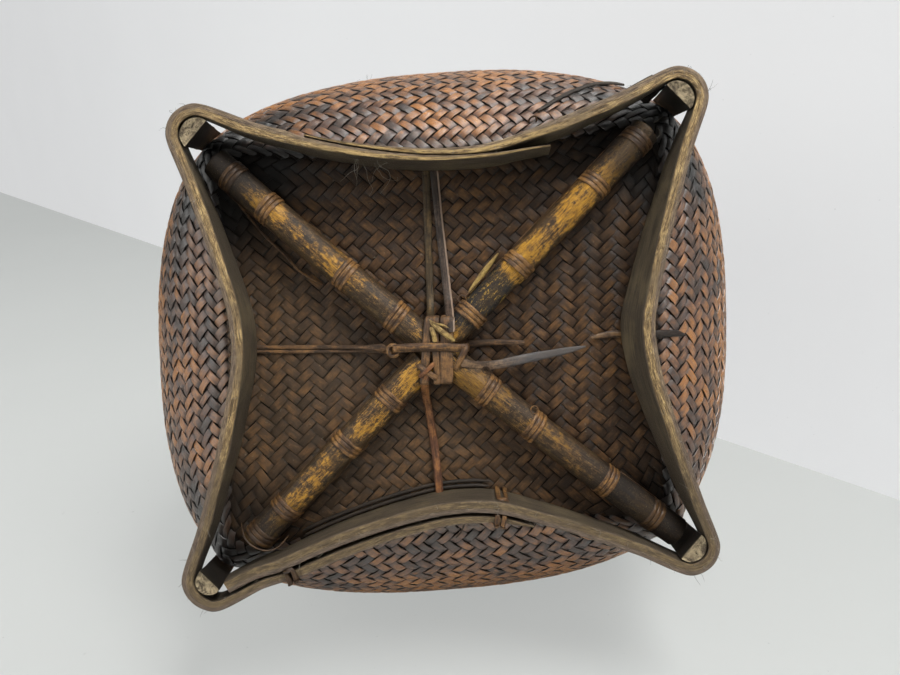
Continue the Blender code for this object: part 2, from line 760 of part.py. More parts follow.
def make_band(name, start, end, inner, outer, notched=True):
    """A bent band between two stations; inner and outer give its faces from the middle line."""
    marks = sorted(set(all_stations + notch_stations()))
    stations = [start] + [mark for mark in marks if start < mark < end] + [end]
    shape = bmesh.new()
    rings = []
    for station in stations:
        low, near, far = notch_at(station) if notched else 0.0, inner(station), outer(station)
        rings.append([hoop_point(station, low, near), hoop_point(station, low, far),
                      hoop_point(station, BAND_HEIGHT, far), hoop_point(station, BAND_HEIGHT, near)])
    add_loft(shape, rings)
    return object_from_bmesh(name, shape, "hoop")


def make_foot_bands():
    """The right and left bands, which overlap at the front, and the splint at the back."""
    tip = BAND_TIP_THICKNESS
    lap = len(CORNERS)
    right_inner = ((RIGHT_BAND_TIP_SHARE, band_half - tip),
                   (LEFT_BAND_TIP_SHARE, -band_half + tip + LAYER_GAP),
                   (LEFT_BAND_TIP_SHARE + LAP_END_SHARE, -band_half),
                   (RIGHT_BAND_STEP_SHARE, -band_half),
                   (RIGHT_BAND_START_SHARE, -band_half - BAND_STEP_IN))
    right_outer = ((RIGHT_BAND_STEP_SHARE, band_half),
                   (RIGHT_BAND_START_SHARE, band_half - BAND_STEP_IN))
    right = make_band("foot_band_right", RIGHT_BAND_TIP_SHARE, RIGHT_BAND_START_SHARE,
                      lambda station: along(right_inner, station),
                      lambda station: along(right_outer, station), notched=False)
    slit = hoop_point(TIE_SHARES[0], SLIT_HEIGHT, 0.0)
    facing = hoop_point(TIE_SHARES[0], SLIT_HEIGHT, band_half) - slit
    slit_size = (2 * BAND_THICKNESS, 2 * notch_reach * side_length, STRIP_THICKNESS + 2 * LAYER_GAP)
    cut(right, make_cutter("tie_slit", [(slit, math.atan2(facing.y, facing.x), slit_size)]))
    left_inner = ((LEFT_BAND_END_SHARE, splint_clear), (LEFT_BAND_SWING_SHARE, SWING_SHARE * band_half),
                  (lap - 1, -band_half))
    left_outer = ((LEFT_BAND_END_SHARE, splint_clear + BAND_END_THICKNESS),
                  (LEFT_BAND_SWING_SHARE, SWING_SHARE * band_half + BAND_END_THICKNESS), (lap - 1, band_half),
                  (lap + RIGHT_BAND_TIP_SHARE - LAP_END_SHARE, band_half),
                  (lap + RIGHT_BAND_TIP_SHARE, band_half - tip - LAYER_GAP),
                  (lap + LEFT_BAND_TIP_SHARE, -band_half + tip))
    make_band("foot_band_left", LEFT_BAND_END_SHARE, lap + LEFT_BAND_TIP_SHARE,
              lambda station: along(left_inner, station), lambda station: along(left_outer, station))
    make_band("foot_splint_back", *SPLINT_SHARES, splint_inner, splint_outer)


def splint_inner(station):
    """The splint stands further from the band towards its left end."""
    return along(((TIE_SHARES[0], splint_clear), (TIE_SHARES[1], splint_clear + SPLINT_SPREAD)), station)


def splint_outer(station):
    return splint_inner(station) + along(((SPLINT_SHARES[0], BAND_TIP_THICKNESS),
                                          (SPLINT_FULL_SHARE, SPLINT_THICKNESS),
                                          (SPLINT_SHARES[1], SPLINT_END_THICKNESS)), station)


def make_foot_tie(name, tie, loop):
    """A winding of two turns round the splint."""
    shape = bmesh.new()

    def place(turn, u, v):
        station = tie + FOOT_TIE_PITCH * (turn - RING_TURNS / 2) / side_length
        return hoop_point(station, v, u)

    add_loop_winding(shape, name, loop, RING_TURNS, place, FOOT_TIE_WIDTH)
    return object_from_bmesh(name, shape, "rattan", smooth=False)


def make_foot_ties():
    """The right tie also goes over the band and through its slit; the left one holds band and splint."""
    top = BAND_HEIGHT + strip_stand_off
    bottom = strip_stand_off
    bend = strip_stand_off / 2
    inside = -band_half - strip_stand_off
    between = band_half + strip_stand_off
    outside = splint_outer(TIE_SHARES[0] + notch_reach) + strip_stand_off
    make_foot_tie("foot_tie_right", TIE_SHARES[0], [
        (inside, SLIT_HEIGHT + bend), (inside, top - bend), (inside + bend, top),
        (outside - bend, top), (outside, top - bend), (outside, bottom + bend),
        (outside - bend, bottom), (between + bend, bottom), (between, bottom + bend),
        (between, SLIT_HEIGHT - bend), (between - bend, SLIT_HEIGHT), (inside + bend, SLIT_HEIGHT)])
    outside = splint_outer(TIE_SHARES[1]) + strip_stand_off
    make_foot_tie("foot_tie_left", TIE_SHARES[1], box_loop(between, outside, bottom, top, bend, bend))


def band_outer(station):
    return band_half


def make_edge_cane(name, start, end, inner):
    """A thin dark cane that lies along the outside of the hoop, close under the body."""
    stations = [start] + [mark for mark in all_stations if start < mark < end] + [end]
    top = BAND_HEIGHT
    shape = bmesh.new()
    rings = []
    for station in stations:
        near = inner(station) + LAYER_GAP
        rings.append([hoop_point(station, top - EDGE_CANE_HEIGHT, near),
                      hoop_point(station, top - EDGE_CANE_HEIGHT, near + EDGE_CANE_THICKNESS),
                      hoop_point(station, top, near + EDGE_CANE_THICKNESS),
                      hoop_point(station, top, near)])
    add_loft(shape, rings)
    return object_from_bmesh(name, shape, "dark_strip")


def make_strand(name, lane):
    """A thin round cane along the inside of the hoop at the back."""
    start, end = STRAND_SHARES
    stations = [start] + [mark for mark in all_stations if start < mark < end] + [end]
    inward = band_half + FIT_GAP + STRAND_DIAMETER / 2 + lane * (STRAND_DIAMETER + LAYER_GAP)
    route = [hoop_point(station, strand_z, -inward) for station in stations]
    return object_from_curve(name, tube_curve(name, route, STRAND_DIAMETER, 2), "dark_strip")


# Cross of canes

def cane_point(cane, distance):
    """A point on a cane's axis; distance runs from the crossing, negative on the first arm."""
    first, second = cane
    low, high = -arm_reaches[first], arm_reaches[second]
    to_start = distance * (distance - high) / (low * (low - high))
    to_middle = (distance - low) * (distance - high) / (low * high)
    to_end = distance * (distance - low) / (high * (high - low))
    return arm_ends[first] * to_start + crossing * to_middle + arm_ends[second] * to_end


LOWER_CANE = ("front_left", "back_right")
UPPER_CANE = ("front_right", "back_left")


def make_cane(name, cane, other, keep_lower):
    """A cane with half its depth cut away where the other one crosses it."""
    low, high = -arm_reaches[cane[0]], arm_reaches[cane[1]]
    route = [cane_point(cane, low + (high - low) * step / (CANE_POINTS - 1))
             for step in range(CANE_POINTS)]
    body = object_from_curve(name, tube_curve(name, route, CANE_DIAMETER, 6), "cane")
    body.data.shade_smooth()
    body.data.set_sharp_from_angle(angle=math.radians(40))
    heading = cane_point(other, cane_radius) - cane_point(other, -cane_radius)
    turn = math.atan2(heading.y, heading.x)
    size = (3 * CANE_DIAMETER, CANE_DIAMETER + 2 * LAYER_GAP, CANE_DIAMETER)
    side = 1 if keep_lower else -1
    place = crossing + Vector((0, 0, side * (CANE_DIAMETER - FIT_GAP) / 2))
    cut(body, make_cutter(name + "_notch", [(place, turn, size)]))
    return body


def arm_frame(arm, distance):
    """A point on an arm's axis with its outward tangent and the level direction across it."""
    cane = LOWER_CANE if arm in LOWER_CANE else UPPER_CANE
    sign = 1 if cane[1] == arm else -1
    point = cane_point(cane, sign * distance)
    further = cane_point(cane, sign * (distance + FIT_GAP))
    tangent = (further - point).normalized()
    return point, tangent, Vector((-tangent.y, tangent.x, 0))


def ring_point(arm, distance, angle):
    """A point of a lashing's middle line, and the way out from the cane there."""
    point, _, across = arm_frame(arm, distance)
    facing = across * math.cos(angle) + Vector((0, 0, math.sin(angle)))
    radius = (cane_radius + FIT_GAP) / math.cos(math.pi / TURN_POINTS) + STRIP_THICKNESS / 2
    return point + facing * radius, facing


def make_lashing(name, arm, chain):
    """One strip that winds each ring of its chain, and runs beside the cane between them."""
    start_angle = math.pi if len(chain) > 1 else math.pi / 2
    places = []
    for share in chain:
        first = share * arm_reaches[arm] - RING_PITCH * RING_TURNS / 2
        if places:
            gap = first - places[-1][0]
            places += [(places[-1][0] + gap * step / RUN_STEPS, start_angle)
                       for step in range(1, RUN_STEPS)]
        for index in range(RING_TURNS * TURN_POINTS + 1):
            turn = index / TURN_POINTS
            places.append((first + RING_PITCH * turn, start_angle + 2 * math.pi * turn))
    made = [ring_point(arm, distance, angle) for distance, angle in places]
    shape = bmesh.new()
    add_winding(shape, name, [point for point, _ in made], [facing for _, facing in made],
                RING_WIDTH, TURN_POINTS)
    return object_from_bmesh(name, shape, "rattan", smooth=False)


# Ties from the crossing to the hoop

wrap_low_z = cane_z - cane_radius - strip_stand_off
wrap_high_z = cane_z + cane_radius + strip_stand_off


def half_spread():
    """Half the angle between the two arms on the right."""
    back, front = (arm_ends[arm] - crossing for arm in ("back_right", "front_right"))
    return (math.atan2(back.y, back.x) - math.atan2(front.y, front.x)) / 2


def make_centre_wrap():
    """The winding of two turns, front to back, that binds the canes where they cross."""
    shape = bmesh.new()
    spread = half_spread()
    out_x = (WRAP_SPACING + WRAP_WIDTH) / 2
    half_depth = cane_radius / math.cos(spread) + out_x * math.tan(spread) + strip_stand_off + LAYER_GAP
    loop = box_loop(-half_depth, half_depth, wrap_low_z, wrap_high_z,
                    half_depth / 4, cane_radius / 3)
    top_back = 3
    loop = loop[top_back:] + loop[:top_back]

    def place(turn, u, v):
        step = math.floor(turn) - RING_TURNS / 2 + 0.5
        return Vector((CROSS_X + step * WRAP_SPACING, CROSS_Y + u, v))

    add_loop_winding(shape, "centre wrap", loop, RING_TURNS, place, WRAP_WIDTH)
    return object_from_bmesh("centre_wrap", shape, "rattan", smooth=False)


def make_tie(name):
    """Flat strips close under the base, from the crossing over the hoop's top edge."""
    points = [Vector((x * BASE_WIDTH / 2, y * BASE_DEPTH / 2, tie_z - drop))
              for (x, y), drop in zip(TIE_POINT_SHARES[name], TIE_DROPS[name])]
    shape = bmesh.new()
    normals = [Vector((0, 0, -1))] * len(points)
    add_strip(shape, points, normals, TIE_WIDTHS[name], STRIP_THICKNESS)
    return object_from_bmesh(name, shape, "rattan", smooth=False)


def make_wall_strip():
    """A loose length of strip that lies against the front of the wall."""
    points, normals = [], []
    for x, height in WALL_STRIP_ROUTE:
        half_width, half_depth, power = wall_row_at(height)
        half_width += WALL_STRIP_CLEARANCE
        half_depth += WALL_STRIP_CLEARANCE
        y = -half_depth * (1 - (x / half_width) ** power) ** (1 / power)
        plan = skew(x, y)
        points.append(Vector((plan.x, plan.y, height)))
        normals.append(Vector((plan.x / half_width, plan.y / half_depth, -1)))
    shape = bmesh.new()
    add_strip(shape, points, normals, WALL_STRIP_WIDTH, STRIP_THICKNESS)
    return object_from_bmesh("wall_strip_front", shape, "dark_strip", smooth=False)


def make_centre_band():
    """The band across the front of the crossing, with both ends turned up between the arms."""
    low = wrap_low_z - STRIP_THICKNESS - FIT_GAP
    high = tie_z - STRIP_THICKNESS - FIT_GAP
    arm_half = cane_radius / math.cos(half_spread())
    left = CROSS_X - (arm_half + CENTRE_BAND_LEFT_ROOM) / math.tan(half_spread())
    right = CROSS_X + (arm_half + CENTRE_BAND_RIGHT_ROOM) / math.tan(half_spread())
    y = CROSS_Y - CENTRE_BAND_FRONT
    turn = STRIP_THICKNESS
    points = [Vector(point) for point in (
        (left, y, high), (left, y, low + turn), (left + turn, y, low),
        (right - turn, y, low), (right, y, low + turn), (right, y, high))]
    normals = [Vector(facing) for facing in (
        (-1, 0, 0), (-1, 0, -0.4), (-0.4, 0, -1), (0.4, 0, -1), (1, 0, -0.4), (1, 0, 0))]
    shape = bmesh.new()
    add_strip(shape, points, normals, CENTRE_BAND_WIDTH, STRIP_THICKNESS)
    return object_from_bmesh("centre_band", shape, "rattan", smooth=False)


def build():
    make_body()
    make_rim_hoop("rim_hoop_outer", LAYER_GAP, LAYER_GAP + RIM_HOOP_THICKNESS)
    inner_face = -WALL_THICKNESS - LAYER_GAP
    make_rim_hoop("rim_hoop_inner", inner_face - RIM_HOOP_THICKNESS, inner_face)
    make_rim_winding()
    make_foot_bands()
    make_foot_ties()
    for side, (start, end) in EDGE_CANE_SHARES.items():
        make_edge_cane("edge_cane_" + side, start, end, splint_outer if side == "back" else band_outer)
    make_strand("strand_back_outer", 0)
    make_strand("strand_back_inner", 1)
    for corner in range(len(CORNERS)):
        make_post(corner)
        make_post_lashing(corner)
    make_cane("cane_lower", LOWER_CANE, UPPER_CANE, keep_lower=True)
    make_cane("cane_upper", UPPER_CANE, LOWER_CANE, keep_lower=False)
    for arm, chains in RING_SHARES.items():
        for count, chain in enumerate(chains, 1):
            make_lashing(f"lashing_{arm}_{count}", arm, chain)
    make_centre_wrap()
    make_centre_band()
    for name in TIE_WIDTHS:
        make_tie(name)
    make_wall_strip()


build()
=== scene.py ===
"""Rice basket: the looks of the plaited body, its foot and its bindings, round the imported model."""
import math

import bmesh
import bpy
import numpy as np
from mathutils import Matrix, Vector


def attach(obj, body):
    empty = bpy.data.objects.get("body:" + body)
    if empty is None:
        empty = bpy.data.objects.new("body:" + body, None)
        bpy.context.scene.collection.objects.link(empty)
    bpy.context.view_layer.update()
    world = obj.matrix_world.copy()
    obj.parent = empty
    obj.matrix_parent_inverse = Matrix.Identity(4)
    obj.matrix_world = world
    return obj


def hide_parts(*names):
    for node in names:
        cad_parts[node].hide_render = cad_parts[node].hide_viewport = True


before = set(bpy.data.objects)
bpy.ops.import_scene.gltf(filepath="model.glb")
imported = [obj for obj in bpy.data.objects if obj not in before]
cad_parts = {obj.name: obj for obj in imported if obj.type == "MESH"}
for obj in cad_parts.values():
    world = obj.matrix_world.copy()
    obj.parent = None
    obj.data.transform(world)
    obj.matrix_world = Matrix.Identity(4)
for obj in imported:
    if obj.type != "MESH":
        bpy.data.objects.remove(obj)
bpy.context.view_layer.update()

bl_info = {
    "name": "Rice Basket",
    "version": (1, 0, 0),
    "blender": (4, 5, 0),
    "location": "View3D > Sidebar > Basket",
    "description": "Builds a footed plaited basket piece by piece",
    "category": "Add Mesh",
}

MM = 0.001
WELD = 1e-7

# Main sizes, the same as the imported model's
FOOT_WIDTH, FOOT_DEPTH = 0.280, 0.260
SKEW_SHARE = 0.024
BASE_WIDTH, BASE_DEPTH = 0.266, 0.230
BODY_HEIGHT = 0.300
WALL = 0.0030
SWELL_RADIUS = 0.107
SWELL_START = math.radians(18)
RIM_WIDTH, RIM_DEPTH = 0.300, 0.286
CORNER_POWER, ROUND_POWER, ROUNDING_LENGTH = 9.0, 2.0, 0.041
BAND_HEIGHT, BAND_THICKNESS, TIP_THICKNESS = 0.031, 0.0072, 0.0010
BASE_Z = BAND_HEIGHT + 0.0015
STRIP = 0.0007
FIT_GAP, LAYER_GAP = 0.0003, 0.0005
STAND_OFF = FIT_GAP + STRIP / 2
HOOP_HEIGHT, HOOP_THICKNESS = 0.014, 0.0045
RIM_LOW_Z = BODY_HEIGHT - HOOP_HEIGHT
NECK_Z = RIM_LOW_Z - 0.008
POST_TOP_Z = RIM_LOW_Z - STRIP - 2 * FIT_GAP
POST_WIDTHS = (0.0185, 0.0190, 0.0180, 0.0155)
POST_THICKNESS, POST_TOP_SHARE, POST_CLEARANCE = 0.0085, 0.76, 0.0020
CORNER_TRIMS = (-0.0030, -0.0024, 0.0028, -0.0002)
CORNERS = ("front_left", "front_right", "back_right", "back_left")
SIGNS = ((-1, -1), (1, -1), (1, 1), (-1, 1))
CANE_RADIUS = 0.009
CANE_Z = BASE_Z - 2 * STRIP - 3 * FIT_GAP - CANE_RADIUS
TIE_Z = BASE_Z - FIT_GAP - STRIP / 2


# Shape of the body

def skewed(x, y):
    """Leans plan places into the foot's slight diamond."""
    return (x - SKEW_SHARE * FOOT_WIDTH / FOOT_DEPTH * y, y - SKEW_SHARE * FOOT_DEPTH / FOOT_WIDTH * x)


def plan_places(angles, half_width, half_depth, power):
    across, along = np.cos(angles), np.sin(angles)
    radius = (np.abs(across / half_width) ** power + np.abs(along / half_depth) ** power) ** (-1 / power)
    return skewed(radius * across, radius * along)


def row_at(length):
    """Height, half width, half depth and corner power at a length up the wall."""
    power = ROUND_POWER + (CORNER_POWER - ROUND_POWER) * math.exp(-max(length, 0) / ROUNDING_LENGTH)
    swell_length = SWELL_RADIUS * (math.pi / 2 - SWELL_START)
    if length < 0:
        return BASE_Z, BASE_WIDTH / 2 + length, BASE_DEPTH / 2 + length, power
    if length <= swell_length:
        slope = SWELL_START + length / SWELL_RADIUS
        swell = SWELL_RADIUS * (math.sin(slope) - math.sin(SWELL_START))
        height = BASE_Z + SWELL_RADIUS * (math.cos(SWELL_START) - math.cos(slope))
        return height, BASE_WIDTH / 2 + swell, BASE_DEPTH / 2 + swell, power
    swell = SWELL_RADIUS * (1 - math.sin(SWELL_START))
    belly_z = BASE_Z + SWELL_RADIUS * math.cos(SWELL_START)
    width, depth = BASE_WIDTH / 2 + swell, BASE_DEPTH / 2 + swell
    height = belly_z + length - swell_length
    ease = min(1.0, (height - belly_z) / (NECK_Z - belly_z)) ** 2
    return height, width + (RIM_WIDTH / 2 - width) * ease, depth + (RIM_DEPTH / 2 - depth) * ease, power


CORNER_GAP, CORNER_PULL, CORNER_SPREAD = 0.0042, 0.0130, 0.024
WALL_LENGTH = (SWELL_RADIUS * (math.pi / 2 - SWELL_START) + BODY_HEIGHT - BASE_Z
               - SWELL_RADIUS * math.cos(SWELL_START))


# Shape of the posts and the foot hoop

def corner_direction(corner):
    x, y = skewed(SIGNS[corner][0] * FOOT_WIDTH / 2, SIGNS[corner][1] * FOOT_DEPTH / 2)
    return Vector((x, y)).normalized()


def wall_reach(corner, half_width, half_depth, power):
    """How far the wall reaches towards a corner, over the width of the post."""
    direction = corner_direction(corner)
    angles = math.atan2(direction.y, direction.x) + np.radians(np.arange(-12, 12.25, 0.5))
    x, y = plan_places(angles, half_width, half_depth, power)
    near = np.abs(y * direction.x - x * direction.y) <= POST_WIDTHS[corner] / 2 + LAYER_GAP
    return float((x * direction.x + y * direction.y)[near].max())


def post_line(corner):
    """Heights and radii of a post's flat face: straight from the foot, then along the wall."""
    x, y = skewed(SIGNS[corner][0] * FOOT_WIDTH / 2, SIGNS[corner][1] * FOOT_DEPTH / 2)
    foot = math.hypot(x, y) + CORNER_TRIMS[corner] - POST_THICKNESS / 2
    touches = []
    for length in np.linspace(0, WALL_LENGTH, 40):
        height, half_width, half_depth, power = row_at(length)
        if height <= POST_TOP_Z:
            touches.append((height, wall_reach(corner, half_width, half_depth, power) + POST_CLEARANCE))
    slopes = [(radius - foot) / height for height, radius in touches]
    return [(0.0, foot)] + touches[slopes.index(max(slopes)):]


POST_LINES = [post_line(corner) for corner in range(4)]


def post_radius(corner, height):
    heights, radii = zip(*POST_LINES[corner])
    if height > heights[-1]:
        slope = (radii[-1] - radii[-2]) / (heights[-1] - heights[-2])
        return radii[-1] + slope * (height - heights[-1])
    return float(np.interp(height, heights, radii))


def post_size(corner, height):
    share = 1 + (POST_TOP_SHARE - 1) * height / POST_TOP_Z
    return POST_WIDTHS[corner] * share, POST_THICKNESS * share


def post_point(corner, height, across, outward):
    direction = corner_direction(corner)
    flat = direction * (post_radius(corner, height) + outward)
    return Vector((flat.x - direction.y * across, flat.y + direction.x * across, height))


def corner_face(corner, height):
    return corner_direction(corner) * post_radius(corner, height)


def wrap_radius(corner):
    return max(POST_WIDTHS[corner] / 2, POST_THICKNESS) + LAYER_GAP + BAND_THICKNESS / 2


CORNER_WRAP_ANGLE = math.radians(70)
PINCH_SHAPES = ((0.57, 1.9, 1.25), (0.53, 1.35, 1.2), (0.44, 1.25, 1.7), (0.55, 1.45, 1.2))
FOOT_PINCHES = (0.7938 * FOOT_DEPTH / 2, 0.8314 * FOOT_WIDTH / 2, 0.7346 * FOOT_DEPTH / 2,
                0.8243 * FOOT_WIDTH / 2)
RIGHT_LEAN = 0.0060
TOP_PINCHES = (FOOT_PINCHES[0], FOOT_PINCHES[1] - RIGHT_LEAN, FOOT_PINCHES[2], FOOT_PINCHES[3])
SIDE_OUTWARD = ((0, -1), (1, 0), (0, 1), (-1, 0))
SIDE_LENGTH = (corner_face(1, 0.0) - corner_face(0, 0.0)).length


def hoop_knots(height, pinches):
    """Stations and plan points of the hoop's middle line; corner n has station n."""
    knots = []
    for corner in range(4):
        start, end = corner_face(corner, height), corner_face((corner + 1) % 4, height)
        direction, radius = corner_direction(corner), wrap_radius(corner)
        for step in (-1, -0.5, 0, 0.5, 1):
            turn = step * CORNER_WRAP_ANGLE
            turned = Vector((direction.x * math.cos(turn) - direction.y * math.sin(turn),
                             direction.x * math.sin(turn) + direction.y * math.cos(turn)))
            knots.append((corner + turn * radius / SIDE_LENGTH, start + turned * radius))
        outward = Vector(SIDE_OUTWARD[corner])
        next_radius = wrap_radius((corner + 1) % 4)
        peak, before, after = PINCH_SHAPES[corner]
        depth = ((start + end) / 2).dot(outward) + radius + (next_radius - radius) * peak - pinches[corner]
        for share in np.arange(0.1, 0.95, 0.1):
            rise = (share - peak) / (1 - peak) if share > peak else (peak - share) / peak
            pull = 1 - rise ** (after if share > peak else before)
            offset = radius + (next_radius - radius) * share - depth * pull
            knots.append((corner + float(share), start + (end - start) * float(share) + outward * offset))
    return knots


KNOTS = (hoop_knots(0.0, FOOT_PINCHES), hoop_knots(BAND_HEIGHT, TOP_PINCHES))


def cubic(first, leave, last, arrive, x):
    """A smooth line between two places, from the slopes with which it leaves and arrives."""
    return (first * (2 * x ** 3 - 3 * x ** 2 + 1) + leave * (x ** 3 - 2 * x ** 2 + x)
            + last * (3 * x ** 2 - 2 * x ** 3) + arrive * (x ** 3 - x ** 2))


def smooth_point(knots, station):
    """A point and a tangent on a smooth closed line through the knots."""
    count = len(knots)

    def knot(index):
        lap, place = divmod(index, count)
        return knots[place][0] + lap * 4, knots[place][1]

    index = 0
    while knot(index + 1)[0] <= station:
        index += 1
    while knot(index)[0] > station:
        index -= 1
    (s0, p0), (s1, p1), (s2, p2), (s3, p3) = (knot(index + k) for k in (-1, 0, 1, 2))
    step = s2 - s1
    x = (station - s1) / step
    leave = (p2 - p0) * (step / (s2 - s0))
    arrive = (p3 - p1) * (step / (s3 - s1))
    slope = ((p1 - p2) * (6 * x ** 2 - 6 * x) + leave * (3 * x ** 2 - 4 * x + 1)
             + arrive * (3 * x ** 2 - 2 * x))
    return cubic(p1, leave, p2, arrive, x), slope.normalized()


def hoop_frame(station):
    """Foot and top points of the hoop's middle line, and the way out at each."""
    found = []
    for knots in KNOTS:
        point, tangent = smooth_point(knots, station)
        found += [point, Vector((tangent.y, -tangent.x))]
    return found


def hoop_point(station, height, outward):
    """A point beside the hoop's middle line, at a height and a distance outward."""
    low, low_out, high, high_out = hoop_frame(station)
    point = (low + low_out * outward).lerp(high + high_out * outward, height / BAND_HEIGHT)
    return Vector((point.x, point.y, height))


def read_table(table, station):
    stations, values = zip(*table)
    return float(np.interp(station, stations, values))


def corner_pull(corner, x, y, pull):
    """Shifts that draw places near a corner's diagonal outwards."""
    direction = np.array(corner_direction(corner))
    aside = y * direction[0] - x * direction[1]
    near = (x * direction[0] + y * direction[1] > 0) * np.exp(-(aside / CORNER_SPREAD) ** 2) * pull
    return near[..., None] * direction


class Wall:
    """The wall's outer face as a grid of places: round it in even steps, and up its length."""

    columns = 720
    low = -0.008
    high = WALL_LENGTH + 0.002
    rows = 100

    def __init__(self):
        quarter = self.columns // 4
        places = np.zeros((self.rows, self.columns, 3))
        for row, length in enumerate(np.linspace(self.low, self.high, self.rows)):
            height, half_width, half_depth, power = row_at(length)
            for side in range(4):
                angles = np.linspace(side * math.pi / 2, (side + 1) * math.pi / 2, 400)
                x, y = plan_places(angles, half_width, half_depth, power)
                run = np.concatenate(([0], np.cumsum(np.hypot(np.diff(x), np.diff(y)))))
                even = np.linspace(0, run[-1], quarter, endpoint=False)
                part = slice(side * quarter, (side + 1) * quarter)
                places[row, part, 0], places[row, part, 1] = np.interp(even, run, x), np.interp(even, run, y)
            places[row, :, 2] = height
            self.draw_corners(places[row], length)
        around = np.roll(places, -1, 1) - np.roll(places, 1, 1)
        upward = np.gradient(places, axis=0)
        outward = np.cross(around, upward)
        self.places = places
        self.outward = outward / np.linalg.norm(outward, axis=2, keepdims=True)

    def draw_corners(self, row, length):
        """Draws the wall's lower corners out towards the posts, as far as a small gap."""
        height, half_width, half_depth, power = row_at(length)
        for corner in range(4):
            gap = post_radius(corner, height) - wall_reach(corner, half_width, half_depth, power) - CORNER_GAP
            row[:, :2] += corner_pull(corner, row[:, 0], row[:, 1], min(CORNER_PULL, max(0.0, gap)))

    def at(self, around, length, out):
        """Points at shares round the wall, lengths up it and distances out of it."""
        column = (around % 1.0) * self.columns
        row = np.clip((length - self.low) / (self.high - self.low) * (self.rows - 1), 0, self.rows - 1.001)
        left, below = np.floor(column).astype(int), np.floor(row).astype(int)
        s, t = (column - left)[..., None], (row - below)[..., None]
        left, right = left % self.columns, (left + 1) % self.columns
        results = []
        for grid in (self.places, self.outward):
            low = grid[below, left] * (1 - s) + grid[below, right] * s
            high = grid[below + 1, left] * (1 - s) + grid[below + 1, right] * s
            results.append(low * (1 - t) + high * t)
        return results[0] + results[1] * out[..., None]


# Making meshes

def deselect_all():
    if bpy.context.object and bpy.context.object.mode != "OBJECT":
        bpy.ops.object.mode_set(mode="OBJECT")
    bpy.ops.object.select_all(action="DESELECT")


def pick(made):
    deselect_all()
    made.select_set(True)
    bpy.context.view_layer.objects.active = made


def smooth_faces(angle):
    bpy.ops.object.shade_smooth_by_angle(angle=math.radians(angle))


def change_mesh(made, mesh):
    old, made.data = made.data, mesh
    bpy.data.meshes.remove(old)


def rows_of(places):
    """Places or directions as rows of numbers."""
    return np.array([tuple(place) for place in places], dtype=float)


def unit_rows(rows):
    return rows / np.linalg.norm(rows, axis=-1, keepdims=True)


def run_along(points):
    """How far along a line each of its points lies."""
    return np.concatenate(([0], np.cumsum(np.linalg.norm(np.diff(points, axis=0), axis=1))))


def turn_angles(count):
    return np.linspace(0, 2 * math.pi, count, endpoint=False)


def round_section(across, out, count):
    angles = turn_angles(count)
    return np.stack([across * np.cos(angles), out * np.sin(angles)], 1)


def blank_grid(name, steps_long, steps_wide):
    """A flat unit grid to be shaped; returns its object and each vertex's steps along and across."""
    deselect_all()
    bpy.ops.mesh.primitive_grid_add(x_subdivisions=steps_long, y_subdivisions=steps_wide, size=1)
    made = bpy.context.object
    made.name = name
    made.data.name = name
    places = np.zeros(len(made.data.vertices) * 3)
    made.data.vertices.foreach_get("co", places)
    places = places.reshape(-1, 3)
    along = np.rint((places[:, 0] + 0.5) * steps_long).astype(int)
    across = np.rint((places[:, 1] + 0.5) * steps_wide).astype(int)
    return made, along, across


def set_uv(mesh, u, v):
    """Writes the UV map from values per vertex."""
    layer = mesh.uv_layers[0] if mesh.uv_layers else mesh.uv_layers.new(name="UVMap")
    corners = np.zeros(len(mesh.loops), dtype=np.int32)
    mesh.loops.foreach_get("vertex_index", corners)
    layer.data.foreach_set("uv", np.stack([u[corners], v[corners]], 1).ravel())


def finish_shape(made, smooth_angle=50, fill=True):
    """Welds the seam, closes the ends, turns the faces outwards and smooths them."""
    pick(made)
    bpy.ops.object.mode_set(mode="EDIT")
    bpy.ops.mesh.select_all(action="SELECT")
    bpy.ops.mesh.remove_doubles(threshold=WELD)
    if fill:
        bpy.ops.mesh.select_all(action="DESELECT")
        bpy.ops.mesh.select_non_manifold(extend=False, use_wire=False, use_multi_face=False,
                                         use_non_contiguous=False, use_verts=False)
        bpy.ops.mesh.fill_holes(sides=0)
    bpy.ops.mesh.select_all(action="SELECT")
    bpy.ops.mesh.normals_make_consistent(inside=False)
    bpy.ops.object.mode_set(mode="OBJECT")
    smooth_faces(smooth_angle)
    return made


def close_skin(made, along, across, places, run, loop, smooth_angle):
    """Sets a rolled grid's places and its UV map, in metres along it and round its section."""
    made.data.vertices.foreach_set("co", places.ravel())
    set_uv(made.data, run[along], run_along(np.vstack([loop, loop[:1]]))[across])
    return finish_shape(made, smooth_angle)


def roll(name, points, sides, outs, section, closed=False, smooth_angle=50):
    """Rolls a flat grid round a section and lays it along a route.

    points, sides and outs are one row per step; section holds places across and out, one set
    for all steps or one for each.
    """
    points, sides, outs = (rows_of(rows) for rows in (points, sides, outs))
    section = np.asarray(section, dtype=float)
    if section.ndim == 2:
        section = np.repeat(section[None], len(points), 0)
    if closed:
        points, sides, outs, section = (np.concatenate([rows, rows[:1]])
                                        for rows in (points, sides, outs, section))
    count, width = section.shape[:2]
    made, along, across = blank_grid(name, count - 1, width)
    spread = section[along, across % width]
    low, high = section[:, :, 1].min(), section[:, :, 1].max()
    layer = made.data.attributes.new("crown", "FLOAT", "POINT")
    layer.data.foreach_set("value", (spread[:, 1] - low) / (high - low))
    places = points[along] + sides[along] * spread[:, 0:1] + outs[along] * spread[:, 1:2]
    return close_skin(made, along, across, places, run_along(points), section[count // 2], smooth_angle)


